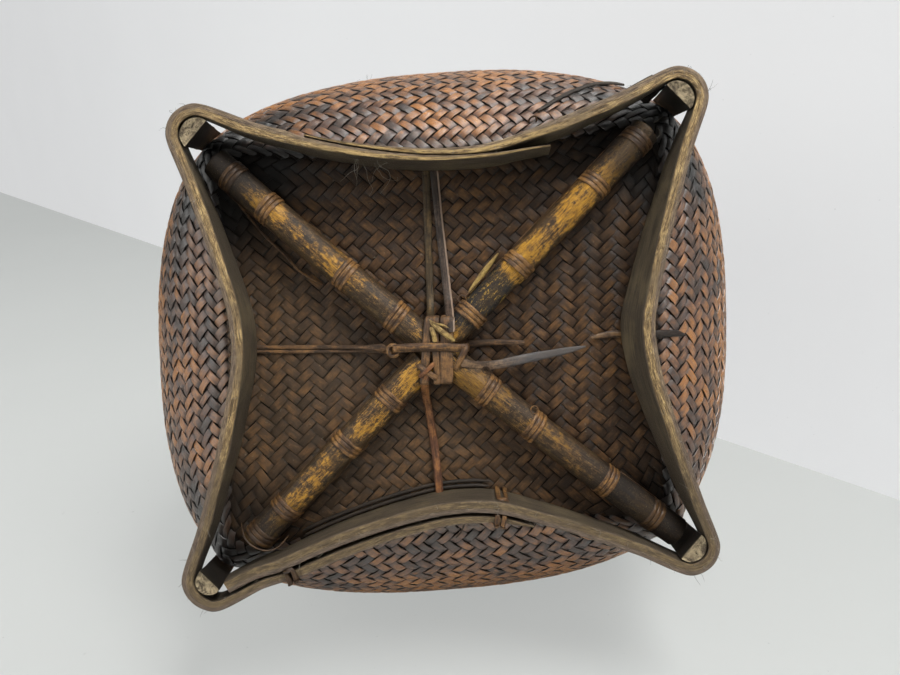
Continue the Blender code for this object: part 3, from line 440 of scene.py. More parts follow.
def route_frames(points, outs):
    """Sides and true outward directions along a route, from rough outward ones."""
    points = rows_of(points)
    tangents = np.gradient(points, axis=0)
    sides = unit_rows(np.cross(tangents, rows_of(outs)))
    return points, sides, unit_rows(np.cross(sides, tangents))


def smooth_route(points, outs, count):
    """More steps along a route, on a smooth line through its points."""
    rows = np.hstack([rows_of(points), rows_of(outs)])
    before = np.vstack([2 * rows[0] - rows[1], rows, 2 * rows[-1] - rows[-2]])
    places = np.linspace(0, len(rows) - 1, count)
    index = np.minimum(np.floor(places).astype(int), len(rows) - 2)
    p0, p1, p2, p3 = (before[index + k] for k in range(4))
    made = cubic(p1, (p2 - p0) / 2, p2, (p3 - p1) / 2, (places - index)[:, None])
    return made[:, :3], made[:, 3:]


def wander(values, seed, waves=6, low=1.0, high=12.0):
    """A smooth random wave between about -1 and 1 along the values."""
    rng = np.random.default_rng(seed)
    values = np.asarray(values, dtype=float)
    total = np.zeros_like(values)
    for frequency, phase, height in zip(rng.uniform(low, high, waves), rng.uniform(0, 6.3, waves),
                                        rng.uniform(0.4, 1.0, waves)):
        total += height * np.sin(2 * math.pi * frequency * values + phase)
    return total / (waves * 0.55)


def strip_section(width, rise):
    """A flat-backed strip with a crowned face."""
    angles = np.linspace(0, math.pi, 6)
    across = width / 2 * np.sign(np.cos(angles)) * np.abs(np.cos(angles)) ** 0.75
    back = -STRIP / 2
    out = back + 0.25 * rise + 0.75 * rise * np.sin(angles) ** 0.8
    corner = width / 2 * 0.96
    return np.vstack([np.stack([across, out], 1), [[-corner, back], [corner, back]]])


def taper(section, count, end, reach, seed, vary):
    """One section for each step, narrower at the ends and a little uneven."""
    scales = np.ones(count)
    for step in range(min(reach, count)):
        share = end + (1 - end) * step / reach
        scales[step] *= share
        scales[count - 1 - step] *= share
    scales = scales * (1 + vary * wander(np.linspace(0, 1, count), seed, high=count / 6))
    made = np.repeat(np.asarray(section)[None], count, 0)
    made[:, :, 0] *= scales[:, None]
    return made


def dress(piece, node, kind):
    """Gives a finished piece its material and its body, and hides the CAD node it stands for."""
    piece.data.materials.clear()
    piece.data.materials.append(finish_for(kind))
    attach(piece, "root")
    if node:
        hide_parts(node)


def in_mm(route):
    return [(x * MM, y * MM, z * MM) for x, y, z in route]


def lay_strip(name, node, points, outs, width, rise, kind, seed, steps, widths=None, end=0.6):
    """Lays a crowned strip along a route; widths are factors spaced evenly along it."""
    points, sides, outs = route_frames(*smooth_route(points, outs, steps))
    section = taper(strip_section(width, rise), len(points), end, 3, seed, 0.05)
    if widths:
        factors = np.interp(np.linspace(0, 1, len(points)), np.linspace(0, 1, len(widths)), widths)
        section[:, :, 0] *= factors[:, None]
    dress(roll(name, points, sides, outs, section, smooth_angle=60), node, kind)


def lay_rod(name, node, points, outs, section, end, seed, vary, kind):
    """Lays a thin rod or strand along a route."""
    points, sides, outs = route_frames(points, outs)
    dress(roll(name, points, sides, outs, taper(section, len(points), end, 4, seed, vary)), node, kind)


# Materials

class Wire:
    """A value in a material that can be used in sums."""

    def __init__(self, finish, socket):
        self.finish = finish
        self.socket = socket

    def combine(self, operation, other, swap=False):
        first, second = (other, self) if swap else (self, other)
        return self.finish.node("ShaderNodeMath", {"operation": operation}, {0: first, 1: second})

    def __add__(self, other):
        return self.combine("ADD", other)

    def __sub__(self, other):
        return self.combine("SUBTRACT", other)

    def __rsub__(self, other):
        return self.combine("SUBTRACT", other, swap=True)

    def __mul__(self, other):
        return self.combine("MULTIPLY", other)

    def __pow__(self, other):
        return self.combine("POWER", other)

    def at_least(self, other):
        return self.combine("MAXIMUM", other)

    def size(self):
        return self.combine("ABSOLUTE", 0.0)

    def sway(self, share):
        """A share of a noise's swing about its middle."""
        return (self - 0.5) * share


class Finish:
    """A procedural material whose nodes are all made by one method."""

    def __init__(self, name, roughness, specular=0.5):
        self.material = bpy.data.materials.new(name)
        self.material.use_nodes = True
        self.tree = self.material.node_tree
        self.shader = self.tree.nodes["Principled BSDF"]
        self.shader.inputs["Roughness"].default_value = roughness
        self.shader.inputs["Specular IOR Level"].default_value = specular
        self.strip = self.node("ShaderNodeTexCoord", output="UV")
        self.body = self.node("ShaderNodeTexCoord", output="Object")
        self.x, self.y, self.z = self.split(self.body)

    def node(self, kind, settings=None, values=None, output=0):
        """Adds a node: its settings first, then the values or wires of its sockets."""
        made = self.tree.nodes.new(kind)
        for setting, value in (settings or {}).items():
            setattr(made, setting, value)
        for socket, value in (values or {}).items():
            if isinstance(value, Wire):
                self.tree.links.new(value.socket, made.inputs[socket])
            else:
                made.inputs[socket].default_value = value
        return Wire(self, made.outputs[output])

    def feed(self, socket, wire):
        self.tree.links.new(wire.socket, self.shader.inputs[socket])

    def split(self, vector):
        made = self.node("ShaderNodeSeparateXYZ", values={0: vector}).socket.node
        return [Wire(self, made.outputs[index]) for index in range(3)]

    def from_middle(self):
        """Level distance from the basket's middle."""
        return (self.x * self.x + self.y * self.y) ** 0.5

    def attribute(self, name, output):
        return self.node("ShaderNodeAttribute", {"attribute_name": name}, output=output)

    def noise(self, vector, scale, detail, rough, distortion=0.0):
        return self.node("ShaderNodeTexNoise", values={"Vector": vector, "Scale": scale, "Detail": detail,
                                                       "Roughness": rough, "Distortion": distortion})

    def spots(self, *look):
        """Noise of the same grain every way, in the basket's own space."""
        return self.noise(self.body, *look)

    def streaks(self, stretch, *look):
        """Noise drawn out along the piece."""
        return self.noise(self.node("ShaderNodeVectorMath", {"operation": "MULTIPLY"},
                                    {0: self.strip, 1: (stretch, 1.0, 1.0)}), *look)

    def step(self, value, low, high):
        """Rises smoothly from 0 at low to 1 at high."""
        return self.node("ShaderNodeMapRange", {"interpolation_type": "SMOOTHSTEP"},
                         {"Value": value, "From Min": low, "From Max": high})

    def strongest(self, *rows):
        """The largest of several steps; a row is a value, low, high and the height of its step."""
        value, low, high, share = rows[0]
        found = self.step(value, low, high) * share
        for value, low, high, share in rows[1:]:
            found = found.at_least(self.step(value, low, high) * share)
        return found

    def mix(self, factor, first, second):
        first, second = (colour if isinstance(colour, Wire) else (*linear(colour), 1.0)
                         for colour in (first, second))
        return self.node("ShaderNodeMix", {"data_type": "RGBA"}, {0: factor, 6: first, 7: second}, output=2)

    def lay(self, colour, second, value, low, high, share=None):
        """Lays a second colour over the first where a value goes from low to high."""
        factor = self.step(value, low, high)
        return self.mix(factor if share is None else factor * share, colour, second)

    def paint(self, colour, roughness, relief, depth):
        """Feeds the shader and returns the material."""
        self.feed("Base Color", colour)
        self.feed("Roughness", roughness)
        self.feed("Normal", self.node("ShaderNodeBump",
                                      values={"Height": relief, "Distance": depth, "Strength": 1.0}))
        return self.material


def linear(colour):
    """A linear colour, from its usual six-figure name or as it is."""
    if not isinstance(colour, str):
        return colour
    parts = [int(colour[index:index + 2], 16) / 255 for index in (0, 2, 4)]
    return tuple(part / 12.92 if part <= 0.04045 else ((part + 0.055) / 1.055) ** 2.4 for part in parts)


def grain_finish(name, tints, roughness, patch_scale=38.0, worn=(0.45, 0.62), gloss=0.16, dust=0.25,
                 turn=None, edge=None, smoked=False):
    """Cane or bamboo skin: streaks along the piece, worn patches on its crest, dark dirt and fine dust.

    tints run from dark to pale. turn gives the places along X between which the piece turns to
    another tint, edge the place across it where its pale edge starts, and smoked adds
    painted shade to what lies low down near the corners.
    """
    finish = Finish(name, roughness, 0.36)
    dark, middle, light, pale = tints.split()
    streaks = finish.streaks(0.06, 1500.0, 4.0, 0.65)
    lines = finish.streaks(0.03, 4200.0, 3.0, 0.7)
    broad = finish.streaks(0.15, 330.0, 4.0, 0.65)
    patches = finish.spots(patch_scale, 5.0, 0.65, 0.4)
    flakes = finish.spots(420.0, 5.0, 0.75, 0.3)
    grit = finish.spots(1300.0, 2.0, 0.6)
    crest = (finish.attribute("crown", "Fac") - 0.7) * 0.25
    wear = finish.step(patches + broad.sway(0.45) + streaks.sway(0.3) + flakes.sway(0.3) + crest, *worn)
    dirt = finish.step(finish.spots(130.0, 5.0, 0.7) + lines.sway(0.3), 0.5, 0.66)
    colour = finish.lay(dark, middle, streaks * 0.5 + broad * 0.5, 0.32, 0.68)
    bare = finish.lay(middle, light, streaks * 0.6 + flakes * 0.4, 0.36, 0.62)
    colour = finish.mix(wear, colour, bare)
    colour = finish.lay(colour, pale, lines, 0.6, 0.72, wear)
    colour = finish.lay(colour, dark, lines, 0.42, 0.32, 0.6)
    colour = finish.mix(dirt * 0.6, colour, dark)
    colour = finish.lay(colour, pale, grit, 0.64, 0.74, dust)
    if turn:
        colour = finish.lay(colour, turn[2], finish.x + streaks.sway(0.01), turn[0], turn[1], 0.85)
    # Painted shade: pieces low down near the corners, in the foot hoop's recesses, go dark.
    if smoked:
        far = finish.step(finish.from_middle() + patches.sway(0.02), 0.122, 0.150)
        colour = finish.lay(colour, dark, finish.z, 0.034, 0.031, far * 0.7)
    if edge:
        across = finish.split(finish.strip)[1] + streaks.sway(0.0004)
        colour = finish.lay(colour, pale, across, edge - 0.0003, edge + 0.0001)
    rough = wear * -gloss + grit.sway(0.14) + dirt * 0.18 + (roughness + gloss / 2)
    return finish.paint(colour, rough, streaks * 0.4 + lines * 0.4 + flakes * 0.3 + grit * 0.2 + wear * 0.3,
                        0.00025)


def cane_finish():
    """The cross of canes: dusty dark skin, golden where it has worn, flaked where its sheath broke."""
    finish = Finish("cane_skin", 0.42, 0.32)
    x, y = finish.x, finish.y
    streaks = finish.streaks(0.05, 900.0, 5.0, 0.7, 0.3)
    lines = finish.streaks(0.03, 3600.0, 3.0, 0.7)
    flakes = finish.streaks(0.3, 520.0, 6.0, 0.8, 0.4)
    patches = finish.spots(30.0, 4.0, 0.6, 0.4)
    grit = finish.spots(1300.0, 3.0, 0.7)
    dust = finish.spots(300.0, 5.0, 0.7)
    crest = (finish.attribute("crown", "Fac") - 0.86) * 0.5
    rub = patches + flakes.sway(0.5) + streaks.sway(0.3) + dust.sway(0.35) + grit.sway(0.3) + crest
    wear = finish.step(rub, 0.535, 0.615)
    skin = finish.lay("1c150d", "4a3722", streaks, 0.34, 0.66)
    skin = finish.lay(skin, "705a3a", dust, 0.5, 0.66, 0.5)
    tan = finish.lay("5a4026", "82602f", flakes, 0.4, 0.62)
    skin = finish.lay(skin, tan, rub, 0.46, 0.56, 0.7)
    gold = finish.lay("7a5520", "bb8a2e", flakes * 0.6 + lines * 0.4, 0.4, 0.6)
    gold = finish.lay(gold, "d8b25c", lines, 0.58, 0.7)
    back_right = finish.step(x + y, 0.012, 0.04)
    colour = finish.mix(wear * (0.9 - back_right * 0.45), skin, gold)
    colour = finish.lay(colour, "20170f", lines, 0.43, 0.33, 0.7)
    reach = x * 0.728 - y * 0.685 + 0.0075 + flakes.sway(0.02)
    broken = finish.step(x, 0.001, 0.006) * finish.step(y, -0.003, -0.009) * finish.step(reach, 0.063, 0.058)
    sheath = finish.lay("1a1c1f", "b3913f", flakes + grit.sway(0.3), 0.56, 0.62)
    colour = finish.mix(broken * 0.9, colour, sheath)
    colour = finish.mix(back_right * 0.28, colour, "2a1d12")
    far = finish.from_middle() + finish.step(x + y, 0.05, 0.12) * 0.02 + patches.sway(0.05)
    ends = finish.strongest((far, 0.122, 0.152, 1.0), (0.0 - x - y + patches.sway(0.03), 0.178, 0.21, 1.0))
    colour = finish.mix(ends * 0.88, colour, "17110d")
    colour = finish.lay(colour, "a8966f", grit, 0.6, 0.72, 0.35)
    return finish.paint(colour, wear * -0.14 + grit.sway(0.2) + ends * 0.15 + 0.5,
                        streaks * 0.3 + lines * 0.35 + flakes * 0.35 + grit * 0.2 - wear * 0.25, 0.0005)


def weave_finish(name, tints, hue, dusty, stain=False, bright=False, shine=0.5, cloud=0.75, level=0.375,
                 own_share=1.0):
    """Plaited strips: each has its own tone, worn pale on its crown, with painted shade at its ends and
    edges.

    tints run from dark to pale and hue holds where wear starts and ends. stain adds painted shade in the
    corner recesses and under the foot hoop, and a little painted light on the base's back left; bright the
    paler wall.
    """
    finish = Finish(name, 0.42, shine)
    dark, middle, light, pale = tints.split()
    own, piece, crown = finish.split(finish.attribute("strip", "Color"))
    fibres = finish.streaks(0.06, 1500.0, 5.0, 0.75)
    broad = finish.streaks(0.3, 420.0, 4.0, 0.65)
    patches = finish.spots(22.0, 4.0, 0.6, 0.5)
    smudges = finish.spots(160.0, 5.0, 0.7, 0.3)
    grit = finish.spots(1500.0, 3.0, 0.65)
    flecks = finish.spots(420.0, 3.0, 0.6)
    tone = own * (0.22 * own_share) + piece * (0.34 * own_share) + level + patches.sway(cloud)
    tone = tone + broad.sway(0.5) + smudges.sway(0.5) + fibres.sway(0.35)
    colour = finish.lay(dark, middle, tone, 0.3, 1.0)
    wear = crown * 0.6 + piece.sway(0.42 * own_share) + patches.sway(cloud * 1.2) + broad.sway(0.7)
    wear = wear + smudges.sway(0.7)
    if bright:
        wear = wear + finish.step(finish.z, 0.034, 0.085) * 0.26 - 0.12
    wear = finish.step(wear + fibres.sway(0.4), *hue)
    colour = finish.mix(wear, colour, finish.lay(light, middle, fibres, 0.35, 0.7))
    colour = finish.lay(colour, pale, fibres, 0.6, 0.74, wear * 0.45 + 0.25)
    colour = finish.lay(colour, dark, fibres, 0.42, 0.3, 0.6)
    # Painted shade where each strip dives under its neighbours and along its side edges.
    colour = finish.lay(colour, tuple(part * 0.2 for part in linear(dark)), 1.0 - crown, 0.34, 0.8, 0.97)
    colour = finish.lay(colour, pale, grit, 0.62, 0.73, dusty)
    colour = finish.lay(colour, (0.36, 0.33, 0.24), flecks, 0.66, 0.73, dusty * 0.7)
    # Painted shade: near black in the corner recesses of the wall and the base, darker on the base under the
    # foot hoop's bands and towards the front right; painted light: the base's back left a little paler.
    if stain:
        x, y, z = finish.x, finish.y, finish.z
        blur = patches.sway(0.05) + smudges.sway(0.03)
        front_left, front_right = 0.0 - x - y + blur, x - y + blur
        # Painted shade in the wall's corner recesses, inside the foot hoop.
        corners = finish.strongest((front_left, 0.205, 0.245, 1.0), (front_right, 0.215, 0.255, 1.0),
                                   (x + y + blur, 0.215, 0.250, 0.6), (y - x + blur, 0.225, 0.262, 0.9))
        # Painted shade on the base: under the front band, in the front corners, at the back corners and
        # towards the front right.
        below = finish.strongest((x * x * 1.8 - y + blur, 0.082, 0.120, 0.7),
                                 (front_left, 0.150, 0.200, 0.95),
                                 (front_right, 0.178, 0.215, 0.9), (x.size() + y + blur, 0.192, 0.225, 0.7),
                                 (front_right, 0.02, 0.20, 0.4))
        low = finish.step(z, 0.037, 0.033)
        # Painted light: the base's back left a little paler.
        colour = finish.lay(colour, (0.17, 0.125, 0.08), y - x + blur * 2.0, -0.03, 0.10, low * 0.15)
        # Near black wherever the painted shade falls.
        painted_shade_share = (corners * finish.step(z, 0.064, 0.048)).at_least(below * low)
        colour = finish.mix(painted_shade_share, colour, (0.0022, 0.0019, 0.0017))
    rough = wear * -0.1 + grit.sway(0.2) + smudges.sway(0.3) + fibres.sway(0.3) + (0.36 + dusty * 0.35)
    return finish.paint(colour, rough, fibres * 1.1 + grit * 0.2 + broad * 0.6 + smudges * 0.5, 0.0003)


def hoop_finish(name, low_edge=True):
    """Bent bamboo: dark grey-brown faces, and a worn tan, fibrous lower edge."""
    finish = Finish(name, 0.62, 0.4)
    streaks = finish.streaks(0.03, 1100.0, 4.0, 0.7)
    fine = finish.streaks(0.04, 3600.0, 4.0, 0.75)
    scuffs = finish.streaks(0.3, 420.0, 5.0, 0.75, 0.4)
    patches = finish.spots(21.0, 5.0, 0.65, 0.5)
    grit = finish.spots(1100.0, 3.0, 0.65)
    skin = finish.lay((0.023, 0.018, 0.0125), (0.092, 0.070, 0.045), streaks, 0.32, 0.68)
    skin = finish.lay(skin, (0.115, 0.088, 0.05), patches + streaks.sway(0.5), 0.48, 0.7)
    skin = finish.lay(skin, (0.28, 0.25, 0.19), grit, 0.66, 0.75, 0.3)
    wood = finish.lay((0.060, 0.037, 0.018), (0.305, 0.2, 0.088), streaks * 0.6 + scuffs * 0.4, 0.36, 0.62)
    wood = finish.lay(wood, (0.66, 0.475, 0.212), fine * 0.6 + scuffs * 0.4, 0.49, 0.60)
    wood = finish.lay(wood, (0.034, 0.022, 0.012), fine, 0.48, 0.38, 0.95)
    wood = finish.lay(wood, (0.13, 0.092, 0.055), patches + scuffs.sway(0.6), 0.52, 0.68, 0.7)
    # Painted shade: the worn lower edge turns darker along the back half of the hoop.
    wood = finish.lay(wood, (0.065, 0.047, 0.028), finish.y + scuffs.sway(0.05), 0.035, 0.095, 0.72)
    front = (finish.step(finish.y + scuffs.sway(0.03), -0.075, -0.095)
             * finish.step(finish.x.size(), 0.095, 0.045))
    wood = finish.lay(wood, (0.56, 0.385, 0.155), streaks + scuffs, 0.85, 1.1, front * 0.55)
    if low_edge:
        rind = finish.lay((0.055, 0.04, 0.032), (0.2, 0.15, 0.118), fine, 0.4, 0.62)
        wood = finish.lay(wood, rind, finish.split(finish.strip)[1] + scuffs.sway(0.0016), 0.0034, 0.0050,
                          0.72)
        height = finish.z + patches.sway(0.005) + streaks.sway(0.002) + scuffs.sway(0.002)
        worn = finish.step(height, 0.0026, 0.0004)
        colour, rough = finish.mix(worn, skin, wood), worn * 0.14 + grit.sway(0.16) + 0.6
    else:
        colour, rough = finish.mix(0.45, skin, wood), grit.sway(0.2) + 0.58
    return finish.paint(colour, rough, streaks * 0.5 + fine * 0.5 + scuffs * 0.4 + grit * 0.3, 0.0005)


def post_finish():
    """Split cane posts: dark weathered sides, and a pale cracked end where they stand."""
    finish = Finish("post_cane", 0.62, 0.4)
    streaks = finish.streaks(0.05, 1500.0, 4.0, 0.7)
    blotches = finish.spots(150.0, 5.0, 0.7, 0.4)
    cracks = (finish.spots(170.0, 5.0, 0.75, 1.2) - 0.5).size()
    grit = finish.spots(1500.0, 3.0, 0.7)
    side = finish.lay("1d1813", "4f4230", streaks, 0.3, 0.7)
    side = finish.lay(side, "77664a", blotches, 0.52, 0.66)
    side = finish.lay(side, "0d0b09", finish.z + blotches.sway(0.02), 0.075, 0.045, 0.85)
    cut = finish.lay("625644", "a8987a", blotches, 0.36, 0.6)
    cut = finish.lay(cut, "1c140d", cracks + grit.sway(0.02), 0.022, 0.0, 0.9)
    cut = finish.lay(cut, "3a2e20", grit, 0.42, 0.3, 0.7)
    share = finish.step(finish.z + blotches.sway(0.003), 0.0035, 0.0012)
    return finish.paint(finish.mix(share, side, cut), share * 0.2 + grit.sway(0.15) + 0.6,
                        streaks * 0.4 + grit * 0.5 + blotches * 0.4 + finish.step(cracks, 0.0, 0.03) * share,
                        0.0006)


RECIPES = {
    "wall_weave": (weave_finish, "wall_weave", "1f1611 60402e b3752c dac292", (0.28, 0.85), 0.12,
                   dict(stain=True, bright=True, shine=1.0, level=0.45)),
    "base_weave": (weave_finish, "base_weave", "20160e 543c28 8c6437 a08a62", (0.45, 1.05), 0.3,
                   dict(stain=True, shine=0.28, cloud=0.4, level=0.5, own_share=0.45)),
    "lining_weave": (weave_finish, "lining_weave", "3a2a1c 7b5b38 a97c48 c8a878", (0.4, 1.0), 0.1, {}),
    "hoop": (hoop_finish, "foot_hoop_bamboo", {}),
    "rim_hoop": (hoop_finish, "rim_hoop_bamboo", dict(low_edge=False)),
    "cane": (cane_finish, {}),
    "post": (post_finish, {}),
    "dark_strip": (grain_finish, "dark_strip", "15110e 33291f 5c4a35 8a775a", 0.55,
                   dict(worn=(0.52, 0.75), dust=0.2)),
    "tie": (grain_finish, "tie_strip", "2b2118 5a4330 86623c ab8d66", 0.46,
            dict(worn=(0.45, 0.68), patch_scale=60.0)),
    "dark_tie": (grain_finish, "dark_tie_strip", "1c1511 362b22 54443a 8c7766", 0.46,
                 dict(worn=(0.5, 0.72), dust=0.2, patch_scale=60.0, edge=0.0044)),
    "olive_tie": (grain_finish, "olive_tie_strip", "241c10 4a3a22 6b5430 8f7748", 0.5,
                  dict(worn=(0.5, 0.72), dust=0.2, patch_scale=60.0)),
    "pale_strip": (grain_finish, "pale_strip", "43331d 836a3c b3985a d3bf88", 0.5,
                   dict(worn=(0.42, 0.62), dust=0.2, patch_scale=90.0)),
    "red_tie": (grain_finish, "red_tie_strip", "3a2316 6d452c 936438 b08a62", 0.42,
                dict(worn=(0.45, 0.68), dust=0.2, patch_scale=60.0)),
    "grey_tie": (grain_finish, "grey_tie_strip", "2c2118 5f4a38 84694c a08c74", 0.46,
                 dict(worn=(0.4, 0.6), dust=0.3, patch_scale=60.0, turn=(0.022, 0.052, "4a4a4c"))),
    "burnt": (grain_finish, "burnt_strip", "2c2118 5c4532 80623f a08660", 0.42,
              dict(worn=(0.5, 0.7), dust=0.2, turn=(0.118, 0.128, "120c0b"))),
    "lashing": (grain_finish, "lashing_rattan", "261a10 5b4029 8f693b bd9660", 0.42,
                dict(worn=(0.44, 0.66), dust=0.15, patch_scale=90.0, gloss=0.12, smoked=True)),
    "fibre": (grain_finish, "loose_fibre", "6e675c 8f8a80 b5b0a6 d8d4cc", 0.6, dict(dust=0.0)),
    "core": (grain_finish, "core_shadow", "0d0a08 1a130e 241a12 3a2c1e", 0.8, dict(dust=0.1)),
}
FINISHES = {}


def finish_for(kind):
    """The material of a kind, made when it is first asked for."""
    if kind not in FINISHES:
        make, *given, options = RECIPES[kind]
        FINISHES[kind] = make(*given, **options)
    return FINISHES[kind]


# Plaited strips

ACROSS = np.array([-0.5, -0.47, -0.2, 0.2, 0.47, 0.5])
LANE_WIDTH = 0.0055
WALL_START = 0.001
FRONT_STRAND, BACK_STRAND = 500, 2500


def lay_floats(name, kind, floats, place, crest, relief, seed, middle_z, arch=0.3, fill=1.0, inner=False):
    """Copies one short raised length of strip to every place where a strip shows.

    floats has one row for each: centre along two lattice directions, half length, direction
    (0 or 1), strip number. place turns lattice places and heights into points. fill is the share
    of its lane that a strip covers. An inner face has fewer steps and faces the middle.
    """
    rng = np.random.default_rng(seed)
    across = ACROSS[[0, 2, 3, 5]] if inner else ACROSS
    made, along_step, across_step = blank_grid(name, 5 if inner else 7, len(across) - 1)
    faces = np.array([tuple(face.vertices) for face in made.data.polygons])
    count, size = len(floats), len(along_step)
    half = (floats[:, 2] + rng.uniform(-0.04, 0.05, count))[:, None]
    reach = np.array([0.30, -0.14] if inner else [0.34, 0.06, -0.12])
    marks = np.hstack([-(half + reach), -0.4 * half, 0.4 * half, half + reach[::-1]])
    a = marks[:, along_step]
    b = np.repeat(across[across_step][None], count, 0)
    width = (fill + 0.035 * rng.standard_normal(count).clip(-2, 1.2))[:, None]
    lean = 0.035 * rng.standard_normal(count)[:, None]
    shift = 0.02 * rng.standard_normal(count)[:, None]
    dive = ((np.abs(a) - half + 0.12) / 0.4).clip(0, 1) ** 1.3
    bow = (np.abs(a) / half).clip(0, 1) ** 2
    edge = (np.abs(b) > 0.49) * 0.34 + 0.2 * (2 * b) ** 2
    tilt = rng.uniform(-0.16, 0.16, count)[:, None] * b + rng.uniform(-0.07, 0.07, count)[:, None] * a
    lift = rng.uniform(-0.09, 0.09, count)[:, None]
    height = crest + relief * (lift + tilt - arch * bow - 1.25 * dive - edge)
    direction = floats[:, 3:4]
    side = b * width + lean * a + shift
    points = place(floats[:, 0:1] + np.where(direction == 0, side, a),
                   floats[:, 1:2] + np.where(direction == 0, a, side), height)
    mesh = bpy.data.meshes.new(name)
    all_faces = (faces[None] + np.arange(count)[:, None, None] * size).reshape(-1, faces.shape[1])
    mesh.vertices.add(count * size)
    mesh.vertices.foreach_set("co", points.reshape(-1))
    mesh.loops.add(all_faces.size)
    mesh.loops.foreach_set("vertex_index", all_faces.ravel())
    mesh.polygons.add(len(all_faces))
    mesh.polygons.foreach_set("loop_start", np.arange(0, all_faces.size, 4))
    mesh.update(calc_edges=True)
    change_mesh(made, mesh)
    own = np.random.default_rng(seed + 1).uniform(0, 1, 4000)[floats[:, 4].astype(int) % 4000]
    each = rng.uniform(0, 1, count)
    look = np.ones((count, size, 4))
    look[:, :, 0] = own[:, None]
    look[:, :, 1] = each[:, None]
    # Third channel: high on the strip's crown, low at its ends and edges; it drives the wear and the painted
    # shade there.
    look[:, :, 2] = ((1 - 0.8 * (np.abs(a) / half).clip(0, 1.2) ** 4).clip(0, 1)
                     * (1 - 0.9 * (np.abs(b) > 0.49)))
    layer = mesh.attributes.new("strip", "FLOAT_COLOR", "POINT")
    layer.data.foreach_set("color", look.ravel())
    offsets = rng.uniform(0, 0.5, (count, 2))
    set_uv(mesh, (a * LANE_WIDTH + offsets[:, 0:1]).ravel(), (b * LANE_WIDTH + offsets[:, 1:2]).ravel())
    face_outward(made, middle_z, inner)
    dress(made, "woven_body", kind)


def face_outward(made, middle_z, inward):
    """Turns every face away from a point on the basket's axis, or towards it."""
    mesh = made.data
    middle, normal = (np.zeros(len(mesh.polygons) * 3) for _ in range(2))
    mesh.polygons.foreach_get("center", middle)
    mesh.polygons.foreach_get("normal", normal)
    away = ((middle.reshape(-1, 3) - (0, 0, middle_z)) * normal.reshape(-1, 3)).sum(1)
    if ((away > 0) if inward else (away < 0)).mean() > 0.5:
        mesh.flip_normals()
    pick(made)
    smooth_faces(38)


def wall_floats(units, rows):
    """Every raised length of the wall's two-over, two-under plait: bands of one slant, then the other."""
    floats = []
    for row in rows:
        for unit in range(units):
            i, j = row + unit, row - unit
            floats.append((i + 0.5, j, 1.0, 1, 2000 + j) if row % 2 else (i, j + 0.5, 1.0, 0, i))
    return np.array(floats, dtype=float)


def base_floats(reach, inside):
    """The base's plait, whose bands run round a centre in squares."""
    floats = []
    for direction in (0, 1):
        for strand in range(-reach, reach + 1):
            run = []
            for cell in range(-reach, reach + 2):
                i, j = (strand, cell) if direction == 0 else (cell, strand)
                over = (abs(i) + abs(j)) % 4 in (0, 1)
                shows = inside(i, j) and (over == (direction == 0))
                if shows:
                    run.append(cell)
                if run and not shows:
                    centre, half = (run[0] + run[-1]) / 2, len(run) / 2
                    place = (strand, centre) if direction == 0 else (centre, strand)
                    floats.append((*place, half, direction,
                                   strand + (BACK_STRAND if direction else FRONT_STRAND)))
                    run = []
    return np.array(floats, dtype=float)


class BasketSizes(bpy.types.PropertyGroup):
    """Sizes that a maker would change."""

    units_round: bpy.props.IntProperty(
        name="Strips round the wall", description="Slanting strips of one direction round the basket",
        default=124, min=60, max=200)
    row_pitch: bpy.props.FloatProperty(
        name="Band pitch", description="Height of one band of the plait on the wall",
        default=0.0078, min=0.004, max=0.02, unit="LENGTH")
    relief: bpy.props.FloatProperty(
        name="Relief", description="How far the strips rise and sink in the plait",
        default=0.0011, min=0.0002, max=0.003, unit="LENGTH")
    base_units: bpy.props.IntVectorProperty(
        name="Base units", description="Units of the base's plait from the middle to each side",
        default=(16, 15), size=2, min=6, max=40)
    lashing_width: bpy.props.FloatProperty(
        name="Lashing width", description="Width of the split rattan on the canes",
        default=0.0027, min=0.001, max=0.01, unit="LENGTH")


class BasketColours(bpy.types.PropertyGroup):
    """Colours of the stage."""

    floor: bpy.props.FloatVectorProperty(
        name="Floor", description="Colour of the floor", subtype="COLOR", size=3,
        default=(0.63, 0.65, 0.64), min=0, max=1)
    backdrop: bpy.props.FloatVectorProperty(
        name="Backdrop", description="Colour of the backdrop", subtype="COLOR", size=3,
        default=(0.84, 0.85, 0.86), min=0, max=1)


